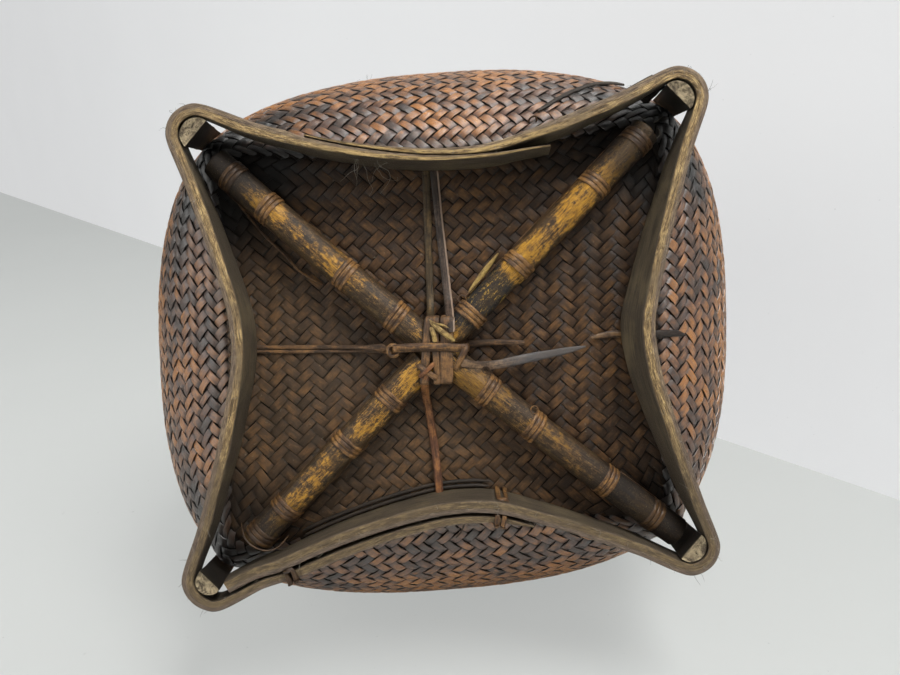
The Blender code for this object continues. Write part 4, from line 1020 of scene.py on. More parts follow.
class BASKET_OT_plait_body(bpy.types.Operator):
    """Plait the body: base, wall and lining, over a thin dark core"""

    bl_idname = "basket.plait_body"
    bl_label = "Plait the body"

    def execute(self, context):
        sizes = context.scene.basket_sizes
        wall = Wall()
        units, pitch, relief = sizes.units_round, sizes.row_pitch, sizes.relief

        def on_wall(side, level):
            def place(i, j, height):
                return wall.at((i - j) / (2 * units), WALL_START + (i + j) / 2 * pitch,
                               level + side * height)
            return place

        rows = int(WALL_LENGTH / pitch)
        spans = {"plaited_wall_low": (0, 12), "plaited_wall_middle": (12, 22),
                 "plaited_wall_high": (22, rows)}
        for number, (name, span) in enumerate(spans.items()):
            lay_floats(name, "wall_weave", wall_floats(units, range(*span)), on_wall(1, 0), 0.0006,
                       relief * 1.28, 11 + number, 0.14, arch=0.8, fill=0.91)
        lay_floats("plaited_lining", "lining_weave", wall_floats(units, range(rows)), on_wall(-1, -WALL),
                   0.0002, relief, 15, 0.16, inner=True)

        wide, deep = BASE_WIDTH / 2, BASE_DEPTH / 2
        across, along = wide / sizes.base_units[0], deep / sizes.base_units[1]

        def reach(x, y):
            return ((np.abs(x) / wide) ** CORNER_POWER
                    + (np.abs(y) / deep) ** CORNER_POWER) ** (1 / CORNER_POWER)

        def inside(i, j):
            return reach((i - j) / 2 * across, (i + j) / 2 * along) <= 1.01

        def on_base(side, level):
            def place(i, j, height):
                plan_x, plan_y = (i - j) / 2 * across, (i + j) / 2 * along
                beyond = (reach(plan_x, plan_y) - 0.985).clip(0) * deep
                x, y = skewed(plan_x, plan_y)
                ease = ((np.hypot(x, y) - 0.105) / 0.050).clip(0, 1)
                ease = CORNER_PULL * ease * ease * (3 - 2 * ease)
                shift = sum(corner_pull(corner, x, y, ease) for corner in range(4))
                return np.stack([x + shift[..., 0], y + shift[..., 1],
                                 level + side * height + 0.75 * beyond], -1)
            return place

        floats = base_floats(2 * max(sizes.base_units), inside)
        lay_floats("plaited_base", "base_weave", floats, on_base(-1, BASE_Z), 0.0, relief, 21, 0.2,
                   fill=0.95)
        lay_floats("plaited_base_lining", "lining_weave", floats, on_base(1, BASE_Z + WALL), 0.0002, relief,
                   22, 0.2, inner=True)
        self.core(wall)
        return {"FINISHED"}

    def core(self, wall):
        """A thin closed shell between the plait's two faces, so that no light comes through."""
        steps_round, steps_up, thickness = 144, 60, 0.0010
        made, along, across = blank_grid("plait_core", steps_round, steps_up)
        turn, length = along / steps_round, across / steps_up * (WALL_LENGTH + 0.004) - 0.004
        places = wall.at(turn % 1.0, length.clip(None, WALL_LENGTH - 0.0005), np.full(len(turn), -thickness))
        made.data.vertices.foreach_set("co", places.ravel())
        set_uv(made.data, turn, length)
        finish_shape(made, fill=False)
        bpy.ops.object.mode_set(mode="EDIT")
        shape = bmesh.from_edit_mesh(made.data)
        for edge in shape.edges:
            edge.select_set(edge.is_boundary and edge.verts[0].co.z < BASE_Z + WALL)
        bpy.ops.mesh.edge_face_add()
        bpy.ops.mesh.select_all(action="SELECT")
        bpy.ops.mesh.normals_make_consistent(inside=False)
        bpy.ops.object.mode_set(mode="OBJECT")
        solid = made.modifiers.new("thickness", "SOLIDIFY")
        solid.thickness = thickness
        solid.offset = -1
        bpy.ops.object.modifier_apply(modifier=solid.name)
        dress(made, "woven_body", "core")


# Foot hoop

TIE_SHARES = (2.388, 2.846)
NOTCH_REACH = 0.024
SPLINT_SHARES = (2.318, 2.840)
SPLINT_FULL, SPLINT_SPREAD = 2.400, 0.0007
SPLINT_ENDS = (0.0055, 0.0045)
HALF_BAND = BAND_THICKNESS / 2
SPLINT_CLEAR = HALF_BAND + 2 * STAND_OFF + LAYER_GAP / 2
NOTCH_DEPTH = 2 * FIT_GAP + STRIP
RIGHT_START, RIGHT_BEND, RIGHT_END = 0.22, 2.862, 2.930
LEFT_START, LEFT_END, LEFT_THICKNESS = 2.852, 4.72, 0.0052
RIGHT_TIP_STEP = 0.0043
SPRING_REACH, SPRING_DEPTH = 0.16, 0.0062
STEPS_PER_SIDE, EDGE_STEPS = 210, 11


def splint_inner(station):
    return read_table(((TIE_SHARES[0], SPLINT_CLEAR), (TIE_SHARES[1], SPLINT_CLEAR + SPLINT_SPREAD)),
                      station)


def splint_outer(station):
    return splint_inner(station) + read_table(((SPLINT_SHARES[0], TIP_THICKNESS),
                                               (SPLINT_FULL, SPLINT_ENDS[1]),
                                               (SPLINT_SHARES[1], SPLINT_ENDS[0])), station)


class BASKET_OT_bend_foot(bpy.types.Operator):
    """Bend the foot hoop: two lapped bands and the splint behind them, with worn fibrous edges"""

    bl_idname = "basket.bend_foot"
    bl_label = "Bend the foot hoop"

    def execute(self, context):
        tip, lap, half = TIP_THICKNESS, 4, HALF_BAND
        right_in = ((RIGHT_START, half - tip), (0.68, -half + tip + LAYER_GAP), (0.76, -half),
                    (RIGHT_BEND, -half), (RIGHT_END, -half - RIGHT_TIP_STEP))
        right_out = ((RIGHT_BEND, half), (RIGHT_END, half - RIGHT_TIP_STEP))
        left_in = ((LEFT_START, SPLINT_CLEAR), (2.900, 0.7 * half), (lap - 1, -half))
        left_out = ((LEFT_START, SPLINT_CLEAR + LEFT_THICKNESS), (2.900, 0.7 * half + LEFT_THICKNESS),
                    (lap - 1, half), (lap + 0.18, half), (lap + RIGHT_START, half - tip - LAYER_GAP),
                    (lap + 0.72, -half + tip))
        self.band("hoop_band_right", "foot_band_right", RIGHT_START, RIGHT_END, right_in, right_out, 31)
        self.band("hoop_band_left", "foot_band_left", LEFT_START, LEFT_END, left_in, left_out, 32)
        stations = np.linspace(*SPLINT_SHARES, 9)
        self.band("hoop_splint_back", "foot_splint_back", *SPLINT_SHARES,
                  [(s, splint_inner(s)) for s in stations], [(s, splint_outer(s)) for s in stations], 33)
        return {"FINISHED"}

    def band(self, name, node, start, end, inner, outer, seed):
        """One band, with rounded edges, ridges along its lower edge and slight unevenness.

        The left band's free end springs inward, and the right band has no notch for the ties.
        """
        count = max(60, int((end - start) * STEPS_PER_SIDE))
        stations = np.linspace(start, end, count)
        frames, sections = [], []
        for station in stations:
            near, far = read_table(inner, station), read_table(outer, station)
            if end == LEFT_END:
                spring = SPRING_DEPTH * max(0.0, (station - end + SPRING_REACH) / SPRING_REACH) ** 1.6
                near, far = near - spring, far - spring
            notched = end != RIGHT_END and any(abs(station - tie) < NOTCH_REACH for tie in TIE_SHARES)
            lift = NOTCH_DEPTH if notched else 0.0
            tall = BAND_HEIGHT - lift
            middle, reach = (near + far) / 2, (far - near) / 2
            edge = min(0.0011, reach * 0.8)
            bottom = [(middle + s * (reach - edge * 0.25 * abs(s) ** 8), lift + edge * 0.7 * abs(s) ** 7)
                      for s in np.linspace(-1, 1, EDGE_STEPS)]
            heights = lift + (tall - lift) * np.linspace(0.1, 0.93, 9)
            top = [(far - edge * 0.5, tall - 0.0002), (middle, tall), (near + edge * 0.5, tall - 0.0002)]
            sections.append(bottom + [(far, h) for h in heights] + top + [(near, h) for h in heights[::-1]])
            frames.append(hoop_frame(station))
        sections = np.array(sections)
        width = sections.shape[1]
        run = stations - start
        ridges = np.stack([wander(run, seed * 50 + k, waves=9, low=1.5, high=26) for k in range(width)], 1)
        bottom = np.zeros(width)
        bottom[:EDGE_STEPS] = 1
        sections[:, :, 1] += np.maximum(0.00042 * ridges * bottom, -0.0002) * bottom
        groove = 0.00028 * (wander(run, seed * 70, high=8)[:, None] + ridges * 0.8) * (1 - bottom)
        aside = sections[:, :, 0] - sections[:, :, 0].mean(1, keepdims=True)
        sections[:, :, 0] += np.where(np.abs(aside) > 0.0003, groove * np.sign(aside), 0)
        made, along, across = blank_grid(name, count - 1, width)
        lines = [rows_of(rows) for rows in zip(*frames)]
        low, low_out, high, high_out = (line[along] for line in lines)
        spread = sections[along, across % width]
        outward, height = spread[:, 0:1], spread[:, 1:2]
        share = height / BAND_HEIGHT
        plan = (low + low_out * outward) * (1 - share) + (high + high_out * outward) * share
        close_skin(made, along, across, np.hstack([plan, height]), run_along(lines[0]), sections[count // 2],
                   40)
        dress(made, node, "hoop")


# Posts

class BASKET_OT_set_posts(bpy.types.Operator):
    """Set the four split-cane posts at the corners, with cracked lower ends"""

    bl_idname = "basket.set_posts"
    bl_label = "Set the posts"

    def execute(self, context):
        for corner in range(4):
            self.post(corner)
        return {"FINISHED"}

    def post(self, corner):
        direction = corner_direction(corner)
        angles = np.linspace(0, math.pi, 13)
        rng = np.random.default_rng(40 + corner)
        bumps = rng.uniform(-1, 1, len(angles))
        points, sections = [], []
        for height in (0.0006, *np.linspace(0.004, POST_TOP_Z, 64)):
            width, thickness = post_size(corner, height)
            uneven = 1 + 0.02 * wander(height * 9, 44 + corner) + 0.015 * bumps
            arc = np.stack([width / 2 * np.cos(angles) * uneven, thickness * np.sin(angles) * uneven], 1)
            sections.append(np.vstack([arc, [(-width / 2 * s, 0.0) for s in (0.6, 0.2, -0.2, -0.6)]]))
            points.append(post_point(corner, height, 0, 0))
        base = sections[0]
        centre = base.mean(0)
        for scale, push in ((0.93, 0.0), (0.72, 0.0004), (0.45, 0.0001), (0.2, 0.0005)):
            rough = rng.uniform(-0.05, 0.05, (len(base), 1))
            sections.insert(0, centre + (base - centre) * (scale + rough))
            points.insert(0, points[0] + Vector((0, 0, push)))
        sides = [(-direction.y, direction.x, 0)] * len(points)
        outs = [(direction.x, direction.y, 0)] * len(points)
        made = roll("post_" + CORNERS[corner], points, sides, outs, sections, smooth_angle=42)
        dress(made, "corner_post_" + CORNERS[corner], "post")


# Cross of canes

CROSSING = np.array([-0.0042, 0.0065, CANE_Z])
ARM_SHARES = {"front_left": (-0.9108, -0.8502), "back_right": (0.956, 0.9505),
              "front_right": (0.8953, -0.889), "back_left": (-0.85, 0.8851)}
ARM_ENDS = {arm: np.array([x * FOOT_WIDTH / 2, y * FOOT_DEPTH / 2, CANE_Z])
            for arm, (x, y) in ARM_SHARES.items()}
ARM_REACHES = {arm: float(np.linalg.norm(end - CROSSING)) for arm, end in ARM_ENDS.items()}
CANES = {"cane_lower": ("front_left", "back_right"), "cane_upper": ("front_right", "back_left")}
RING_SHARES = {
    "front_left": ((0.18,), (0.41,), (0.76, 0.92)),
    "back_right": ((0.215,), (0.405,), (0.71, 0.90)),
    "front_right": ((0.168, 0.396, 0.758, 0.955),),
    "back_left": ((0.252,), (0.4875,), (0.8195,), (0.955,)),
}


def cane_point(cane, distance):
    """A point on a cane's axis; distance runs from the crossing, negative on the first arm."""
    low, high = -ARM_REACHES[cane[0]], ARM_REACHES[cane[1]]
    return (ARM_ENDS[cane[0]] * (distance * (distance - high) / (low * (low - high)))
            + CROSSING * ((distance - low) * (distance - high) / (low * high))
            + ARM_ENDS[cane[1]] * (distance * (distance - low) / (high * (high - low))))


def arm_frame(arm, distance):
    """A point on an arm's axis and the level direction across it."""
    cane = CANES["cane_lower" if arm in CANES["cane_lower"] else "cane_upper"]
    sign = 1 if cane[1] == arm else -1
    point = cane_point(cane, sign * distance)
    tangent = unit_rows(cane_point(cane, sign * (distance + FIT_GAP)) - point)
    return point, np.array([-tangent[1], tangent[0], 0.0])


class BASKET_OT_lay_canes(bpy.types.Operator):
    """Lay the two crossed canes, with worn skin, one broken sheath and rough cut ends"""

    bl_idname = "basket.lay_canes"
    bl_label = "Lay the canes"

    def execute(self, context):
        for seed, node in enumerate(CANES, 50):
            self.cane(node, seed)
        return {"FINISHED"}

    def cane(self, node, seed):
        cane = CANES[node]
        distances = np.linspace(-ARM_REACHES[cane[0]], ARM_REACHES[cane[1]], 190)
        around = turn_angles(36)
        rng = np.random.default_rng(seed)
        centres = np.array([cane_point(cane, d) for d in distances])
        tangents = unit_rows(np.gradient(centres, axis=0))
        sides = np.stack([-tangents[:, 1], tangents[:, 0], np.zeros(len(distances))], 1)
        outs = np.tile([0.0, 0.0, -1.0], (len(distances), 1))
        ridges = np.array([wander(distances * 6, seed * 90 + k, high=4) for k in range(len(around))]).T
        radius = CANE_RADIUS * (1 + 0.012 * wander(distances * 5, seed)[:, None] + 0.012 * ridges
                                + 0.008 * np.sin(around * 5 + seed)[None]
                                + 0.006 * np.sin(around * 11)[None])
        if node == "cane_upper":
            reach = (0.060 + 0.012 * np.cos(around - math.pi / 2 - 0.3) ** 3
                     + 0.002 * rng.uniform(-1, 1, len(around)))
            stripped = (-distances[:, None] < reach[None]) & (distances[:, None] < 0)
            radius = radius - np.where(stripped, 0.0009, 0.0)
        sections = np.stack([radius * np.cos(around)[None], radius * np.sin(around)[None]], 2)
        other = CANES["cane_upper" if node == "cane_lower" else "cane_lower"]
        heading = unit_rows(cane_point(other, CANE_RADIUS) - cane_point(other, -CANE_RADIUS))
        plan = centres[:, None, :2] + sides[:, None, :2] * sections[:, :, 0:1] - CROSSING[:2]
        inside = np.abs(plan[:, :, 0] * heading[1] - plan[:, :, 1] * heading[0]) < CANE_RADIUS
        depth = sections[:, :, 1]
        cut = np.maximum(depth, FIT_GAP / 2) if node == "cane_lower" else np.minimum(depth, -FIT_GAP / 2)
        sections[:, :, 1] = np.where(inside, cut, depth)
        for end in (0, -1):
            sections, centres, sides, outs = self.rough_end(end, sections, centres, sides, outs,
                                                            tangents[end] * (1 if end else -1), rng)
        made = roll(node + "_skin", centres, sides, outs, sections, smooth_angle=55)
        dress(made, node, "cane")

    def rough_end(self, end, sections, centres, sides, outs, tangent, rng):
        """Adds a few rings at one end, so that the cut face is uneven."""
        base, centre = sections[end], centres[end]
        for scale, push in ((0.93, 0.0004), (0.7, 0.0001), (0.4, 0.0004), (0.15, 0.0)):
            ring = base * (scale + rng.uniform(-0.04, 0.04, (len(base), 1)))
            added = zip((sections, centres, sides, outs),
                        (ring, centre + tangent * push, sides[end], outs[end]))
            sections, centres, sides, outs = (
                np.concatenate([rows, row[None]] if end else [row[None], rows]) for rows, row in added)
        return sections, centres, sides, outs


# Rattan windings

RING_PITCH, RING_TURNS = 0.0042, 2
CANE_TURNS, TURN_STEPS = 3, 16
DOWN = (0, 0, -1)
WRAP_OFFSET = 0.00685


class BASKET_OT_wind_lashings(bpy.types.Operator):
    """Wind the split-rattan lashings round the arms of the cross"""

    bl_idname = "basket.wind_lashings"
    bl_label = "Wind the lashings"

    def execute(self, context):
        width = context.scene.basket_sizes.lashing_width
        ring_width = RING_PITCH * RING_TURNS
        radius = CANE_RADIUS * 1.025 + STRIP / 2
        for arm, chains in RING_SHARES.items():
            for number, chain in enumerate(chains, 1):
                start = math.pi if len(chain) > 1 else math.pi / 2
                places = []
                for share in chain:
                    first = share * ARM_REACHES[arm] - ring_width / 2
                    if places:
                        last = places[-1][0]
                        places += [(last + (first - last) * step / 6, start) for step in range(1, 6)]
                    turns = np.arange(CANE_TURNS * TURN_STEPS + 1) / TURN_STEPS
                    places += [(first + ring_width / CANE_TURNS * turn, start + 2 * math.pi * turn)
                               for turn in turns]
                points, outs = [], []
                for distance, angle in places:
                    point, across = arm_frame(arm, distance)
                    facing = across * math.cos(angle) + np.array([0, 0, math.sin(angle)])
                    points.append(point + facing * radius)
                    outs.append(facing)
                lay_strip(f"lashing_turns_{arm}_{number}", f"lashing_{arm}_{number}", points, outs, width,
                          0.0005, "lashing", 60 + number, len(points) * 3 // 2)
        return {"FINISHED"}


def box_loop(low_u, high_u, low_v, high_v, bend_u, bend_v):
    """Eight places round a box with cut corners: up the low side first."""
    return [(low_u, low_v + bend_v), (low_u, high_v - bend_v), (low_u + bend_u, high_v),
            (high_u - bend_u, high_v), (high_u, high_v - bend_v), (high_u, low_v + bend_v),
            (high_u - bend_u, low_v), (low_u + bend_u, low_v)]


def loop_route(loop, turns, place):
    """Points and outward directions of a winding round a flat loop of places."""
    points, outs = [], []
    count = len(loop)
    for index in range(turns * count):
        u, v = loop[index % count]
        before, after = loop[(index - 1) % count], loop[(index + 1) % count]
        ahead = Vector((after[0] - before[0], after[1] - before[1])).normalized()
        point = Vector(place(index / count, u, v))
        outside = Vector(place(index / count, u - ahead.y * FIT_GAP, v + ahead.x * FIT_GAP))
        points.append(point)
        outs.append((outside - point).normalized())
    return points, outs


class BASKET_OT_bind_crossing(bpy.types.Operator):
    """Bind the crossing, and lay the flat ties from it to the hoop"""

    bl_idname = "basket.bind_crossing"
    bl_label = "Bind the crossing"

    def execute(self, context):
        back, front = (ARM_ENDS[arm] - CROSSING for arm in ("back_right", "front_right"))
        spread = (math.atan2(back[1], back[0]) - math.atan2(front[1], front[0])) / 2
        low_z, high_z = CANE_Z - CANE_RADIUS - STAND_OFF, CANE_Z + CANE_RADIUS + STAND_OFF
        half = CANE_RADIUS / math.cos(spread) + WRAP_OFFSET * math.tan(spread) + STAND_OFF + LAYER_GAP
        loop = box_loop(-half, half, low_z, high_z, half / 4, CANE_RADIUS / 3)
        columns = ((-7.4, -11.2, -12.2), (-3.9, -5.2, -4.6), (3.0, 1.8, 0.6))

        def place(turn, u, v):
            column = columns[min(int(turn), 2)]
            return np.interp(u, (-half, 0, half), column) * MM, CROSSING[1] + u, v

        points, outs = loop_route(loop[3:] + loop[:3], 3, place)
        lay_strip("centre_binding", "centre_wrap", points, outs, 0.0050, 0.0010, "tie", 70, 110,
                  widths=(1.0, 1.05, 0.95, 0.8, 0.85, 1.1, 1.5, 1.55, 1.4))
        self.centre_band(spread, low_z - STRIP - FIT_GAP)
        self.ties()
        self.loose_ends()
        self.threads()
        return {"FINISHED"}

    def centre_band(self, spread, low):
        high = TIE_Z - STRIP - FIT_GAP
        arm_half = CANE_RADIUS / math.cos(spread)
        left = CROSSING[0] - (arm_half + 0.0103) / math.tan(spread)
        right = CROSSING[0] + (arm_half + 0.0045) / math.tan(spread)
        y = CROSSING[1] - 0.0018
        bend = 0.0016
        places = [(left, high), (left, (low + high) / 2), (left, low + 3 * bend),
                  (left + 0.3 * bend, low + bend),
                  (left + bend, low + 0.3 * bend), (left + 3 * bend, low),
                  ((left + right) / 2, low - 0.0002),
                  (right - 3 * bend, low), (right - bend, low + 0.3 * bend),
                  (right - 0.3 * bend, low + bend),
                  (right, low + 3 * bend), (right, (low + high) / 2), (right, high)]
        slants = [-1, -1, -1, -0.8, -0.4, 0, 0, 0, 0.4, 0.8, 1, 1, 1]
        outs = [(slant, 0, -(1 - abs(slant)) - 1e-3) for slant in slants]
        points = [(x, y + 0.0010 * math.sin(x * 90), z) for x, z in places]
        lay_strip("centre_strap", "centre_band", points, outs, 0.0050, 0.0012, "lashing", 71, 70)
        over = [(x, y - 0.0012 + 0.0016 * (x - left) / (right - left), z - 0.0009) for x, z in places[4:9]]
        lay_strip("centre_strap_over", None, over, outs[4:9], 0.0030, 0.0008, "lashing", 69, 40)

    def ties(self):
        """The flat strips from the crossing to the hoop, in mm: width, kind and route."""
        routes = {
            "tie_strip_left_front": (2.6, "tie", (-121.5, -0.7, 31.8), (-90, 0.9, 31.4), (-60, 2.3, 30.2),
                                     (-45, 3.0, 26.0), (-35, 3.6, 18.0), (-28.5, 4.0, 12.6)),
            "tie_strip_left_back": (2.2, "tie", (-121.5, 1.9, 31.8), (-90, 3.6, 31.6), (-60, 4.8, 31.0),
                                    (-45, 5.4, 28.0), (-35, 6.0, 20.5), (-28.5, 6.4, 13.0)),
            "tie_strip_front_dark": (5.0, "dark_tie", (-0.6, -111.5, 31.6), (1.6, -65.5, 31.3),
                                     (3.9, -29, 28.2),
                                     (4.4, -18, 20.5), (4.7, -11.5, 12.6), (4.9, -4.0, 10.6)),
            "tie_strip_front_pale": (4.6, "olive_tie", (-4.8, -111.5, 31.8), (-5.7, -65.8, 31.7),
                                     (-6.4, -32, 31.0),
                                     (-6.6, -19, 27.0), (-6.8, -12, 17.0), (-6.6, -5.0, 10.8)),
            "tie_strip_back": (4.7, "red_tie", (-7.0, 97.0, 26.6), (-7.6, 84.0, 27.6), (-8.4, 70.0, 30.0),
                               (-9.8, 56.0, 31.2), (-11.3, 42.0, 28.0), (-12.2, 31.0, 19.0),
                               (-11.9, 24.0, 12.2), (-10.6, 17.5, 10.3)),
            "tie_strip_right_free": (5.4, "grey_tie", (7.2, 13.2, 10.9), (12.0, 14.8, 11.6),
                                     (21.3, 17.1, 16.4),
                                     (33.4, 17.0, 22.0), (51.6, 14.4, 25.4), (69.9, 11.9, 25.2),
                                     (85.1, 9.4, 24.0)),
            "tie_stub_right": (4.4, "tie", (7.5, 4.5, 31.8), (20.0, 4.4, 31.6), (32.7, 4.4, 30.6),
                               (49.0, 5.4, 28.4)),
            "tie_strip_right_outer": (4.6, "burnt", (90.2, 4.6, 29.8), (98.0, 3.6, 31.0), (107.9, 3.2, 31.8),
                                      (120.0, 4.4, 31.8), (133.5, 4.6, 31.9), (144.2, 5.0, 36.2),
                                      (151.0, 6.6, 40.6)),
        }
        widths = {"tie_strip_right_free": (0.8, 0.9, 1.0, 1.05, 1.0, 0.85, 0.3),
                  "tie_stub_right": (1.0, 1.0, 0.9, 0.7),
                  "tie_strip_right_outer": (0.5, 0.9, 1.0, 1.0, 1.0, 0.9, 0.4)}
        for number, (node, (width, kind, *route)) in enumerate(routes.items(), 72):
            outs = [DOWN] * len(route)
            if node == "tie_strip_right_outer":
                outs[-3:] = [(0.3, 0, -1), (0.6, 0, -0.8), (0.6, 0, -0.8)]
            lay_strip(node + "_skin", node, in_mm(route), outs, width * MM, 0.0009, kind, number, 56,
                      widths=widths.get(node), end=0.7)

    def loose_ends(self):
        """Knots, tufts, folds and broken bits round the crossing and the canes, a strip of painted shade at
        the front-right corner, in mm, and four curls.
        """
        bits = (
            ("knot_first", 3.4, "tie", (-15.9, 14.4, 12.2), (-13.6, 15.6, 9.9), (-10.3, 18.4, 9.2),
             (-6.6, 21.2, 9.7), (-4.7, 23.0, 11.4)),
            ("knot_second", 2.8, "red_tie", (-15.0, 21.0, 11.8), (-12.5, 19.4, 9.4), (-9.0, 16.6, 8.6),
             (-6.0, 13.4, 9.6)),
            ("tuft_long", 3.2, "pale_strip", (-6.6, -10.4, 11.2), (-2.6, -6.4, 9.4), (1.8, -2.6, 8.9),
             (6.6, 1.4, 9.6)),
            ("tuft_short", 3.0, "pale_strip", (-6.6, -7.4, 10.4), (-5.4, -3.2, 9.6), (-4.6, 1.4, 9.6)),
            ("tuft_end", 1.6, "pale_strip", (-8.4, -12.6, 12.4), (-4.4, -9.4, 10.2), (0.2, -8.2, 9.6),
             (3.8, -6.2, 9.7)),
            ("right_fold", 3.6, "lashing", (12.8, 3.6, 11.8), (12.4, 6.4, 9.7), (10.6, 10.4, 9.4),
             (8.0, 14.4, 10.0), (6.4, 18.2, 12.6)),
            ("left_fold", 4.2, "tie", (-64.0, 2.6, 30.4), (-52.0, 3.0, 28.2), (-42.0, 3.3, 23.6),
             (-34.0, 3.5, 16.8)),
            # A near-black strip in the core's colour just above the foot hoop at the front-right corner:
            # painted shade filling the gap there.
            ("corner_shade_strip", 9.0, "core", (127.4, -137.6, 33.8), (134.1, -143.6, 33.2),
             (141.2, -149.2, 33.1)),
            ("base_strip", 3.6, "pale_strip", (36.2, -49.6, 30.9), (26.9, -38.7, 30.6), (17.4, -26.6, 30.9)),
        )
        widths = {"left_fold": (0.15, 0.6, 1.0, 1.25), "tuft_end": (0.4, 1.0, 1.0, 0.3),
                  "base_strip": (0.5, 1.0, 0.9)}
        for number, (name, width, kind, *route) in enumerate(bits, 130):
            lay_strip(name, None, in_mm(route), [DOWN] * len(route), width * MM, 0.0008, kind, number, 30,
                      widths=widths.get(name))
        curls = (("strap_ring", -29.4, 5.2, 11.4, 3.5, 2.3), ("curl_back_right", 24.2, 19.6, 15.0, 2.1, 0.9),
                 ("curl_lashing", 51.4, 44.4, 14.0, 2.2, 0.9),
                 ("curl_front_right", 12.4, -22.6, 15.5, 2.4, 1.0))
        for number, (name, x, y, z, radius, width) in enumerate(curls, 140):
            angles = np.linspace(0.4, 0.4 + 2.1 * math.pi, 16)
            route = [(x + radius * math.cos(a), y + radius * math.sin(a), z + 0.12 * index)
                     for index, a in enumerate(angles)]
            outs = [(math.cos(a), math.sin(a), -1.3) for a in angles]
            lay_strip(name, None, in_mm(route), outs, width * MM, 0.0006, "lashing", number, 40)

    def threads(self):
        """Thin loose loops, a twig and a hanging strand, in mm: radius and route."""
        threads = (
            ("loose_loop", 0.55, (-126.2, 103.6, 20.0), (-122.4, 110.2, 12.4), (-117.5, 115.0, 11.0),
             (-111.0, 118.4, 12.4), (-104.4, 118.2, 16.0), (-98.5, 112.5, 20.0)),
            ("loose_twig", 0.85, (-121.0, -92.0, 28.0), (-112.0, -78.0, 29.4), (-103.0, -66.5, 28.9),
             (-93.0, -55.5, 29.4), (-84.0, -45.0, 28.8), (-71.0, -36.0, 29.4)),
            ("front_loop", 0.6, (58.5, -128.6, 40.0), (60.5, -131.2, 36.5), (63.0, -131.6, 34.5),
             (64.0, -129.5, 36.5), (62.0, -128.4, 39.5)),
            ("dangling_strand", 0.6, (2.6, 102.9, 26.0), (5.6, 107.5, 24.5), (6.8, 112.0, 24.0),
             (4.8, 118.0, 26.0), (1.6, 122.3, 29.0)),
        )
        for number, (name, radius, *route) in enumerate(threads):
            points, outs = smooth_route(in_mm(route), [(0.2, 0.3, -1)] * len(route), 40)
            lay_rod(name, None, points, outs, round_section(radius * MM, radius * MM, 8), 0.4, 150 + number,
                    0.1, "tie" if number else "lashing")


EDGE_CANE_HALF_WIDTH, EDGE_CANE_HALF_HEIGHT = 0.0012, 0.0021
STRAND_RADIUS, STRAND_PITCH = 0.00125, 0.0030
EDGE_CANES = {"front": (0.62, 0.93), "back": (2.413, 2.800), "left": (3.45, 3.72)}
UP = (0, 0, 1)


class BASKET_OT_tie_foot(bpy.types.Operator):
    """Tie the hoop's layers together, and lay the thin canes and strands beside the hoop"""

    bl_idname = "basket.tie_foot"
    bl_label = "Tie the foot"

    def execute(self, context):
        top, bottom, slit, bend = BAND_HEIGHT + STAND_OFF, NOTCH_DEPTH - STAND_OFF, 0.006, STRIP
        inside, between = -HALF_BAND - STAND_OFF, HALF_BAND + STAND_OFF
        outside = splint_outer(TIE_SHARES[0] + NOTCH_REACH) + STAND_OFF
        right = [(inside, slit + bend), (inside, top - bend), (inside + bend, top), (outside - bend, top),
                 (outside, top - bend), (outside, bottom + bend), (outside - bend, bottom),
                 (between + bend, bottom),
                 (between, bottom + bend), (between, slit - bend), (between - bend, slit),
                 (inside + bend, slit)]
        left = box_loop(between, splint_outer(TIE_SHARES[1]) + STAND_OFF, bottom, top, bend, bend)
        self.tie("right", TIE_SHARES[0], right, 81)
        self.tie("left", TIE_SHARES[1], left, 82)
        for side, (start, end) in EDGE_CANES.items():
            points = []
            for station in np.linspace(start, end, 70):
                near = ((splint_outer(station) if side == "back" else HALF_BAND) + LAYER_GAP
                        + EDGE_CANE_HALF_WIDTH)
                points.append(hoop_point(station, BAND_HEIGHT - EDGE_CANE_HALF_HEIGHT, near))
            self.rod("edge_cane_" + side, points, EDGE_CANE_HALF_WIDTH, EDGE_CANE_HALF_HEIGHT, 0.5, 83, 0.06)
        for lane, node in enumerate(("strand_back_outer", "strand_back_inner")):
            inward = HALF_BAND + FIT_GAP + STRAND_RADIUS + lane * STRAND_PITCH
            points = [hoop_point(station, BAND_HEIGHT - STRAND_RADIUS, -inward)
                      for station in np.linspace(*EDGE_CANES["back"], 90)]
            self.rod(node, points, STRAND_RADIUS, STRAND_RADIUS, 0.4, 85 + lane, 0.05)
        return {"FINISHED"}

    def rod(self, node, points, half_width, half_height, end, seed, vary):
        lay_rod(node + "_skin", node, points, [UP] * len(points), round_section(half_width, half_height, 10),
                end, seed, vary, "dark_strip")

    def tie(self, side, station, loop, seed):
        def place(turn, u, v):
            step = (math.floor(turn) - RING_TURNS / 2 + 0.5) * 0.0040
            return hoop_point(station + step / SIDE_LENGTH, v, u)

        points, outs = loop_route(loop, RING_TURNS, place)
        lay_strip("foot_binding_" + side, "foot_tie_" + side, points, outs, 0.0030, 0.0010, "lashing", seed,
                  4 * len(points))


POST_STRIP_WIDTH, ARC_STEPS = 0.0030, 6
POST_BINDING_SHARES = (0.350, 0.5667, 0.7833)
WALL_STRIP_PLACES = ((0.0623, 0.0400), (0.0800, 0.0470), (0.0980, 0.0550), (0.1120, 0.0612),
                     (0.1225, 0.0660))


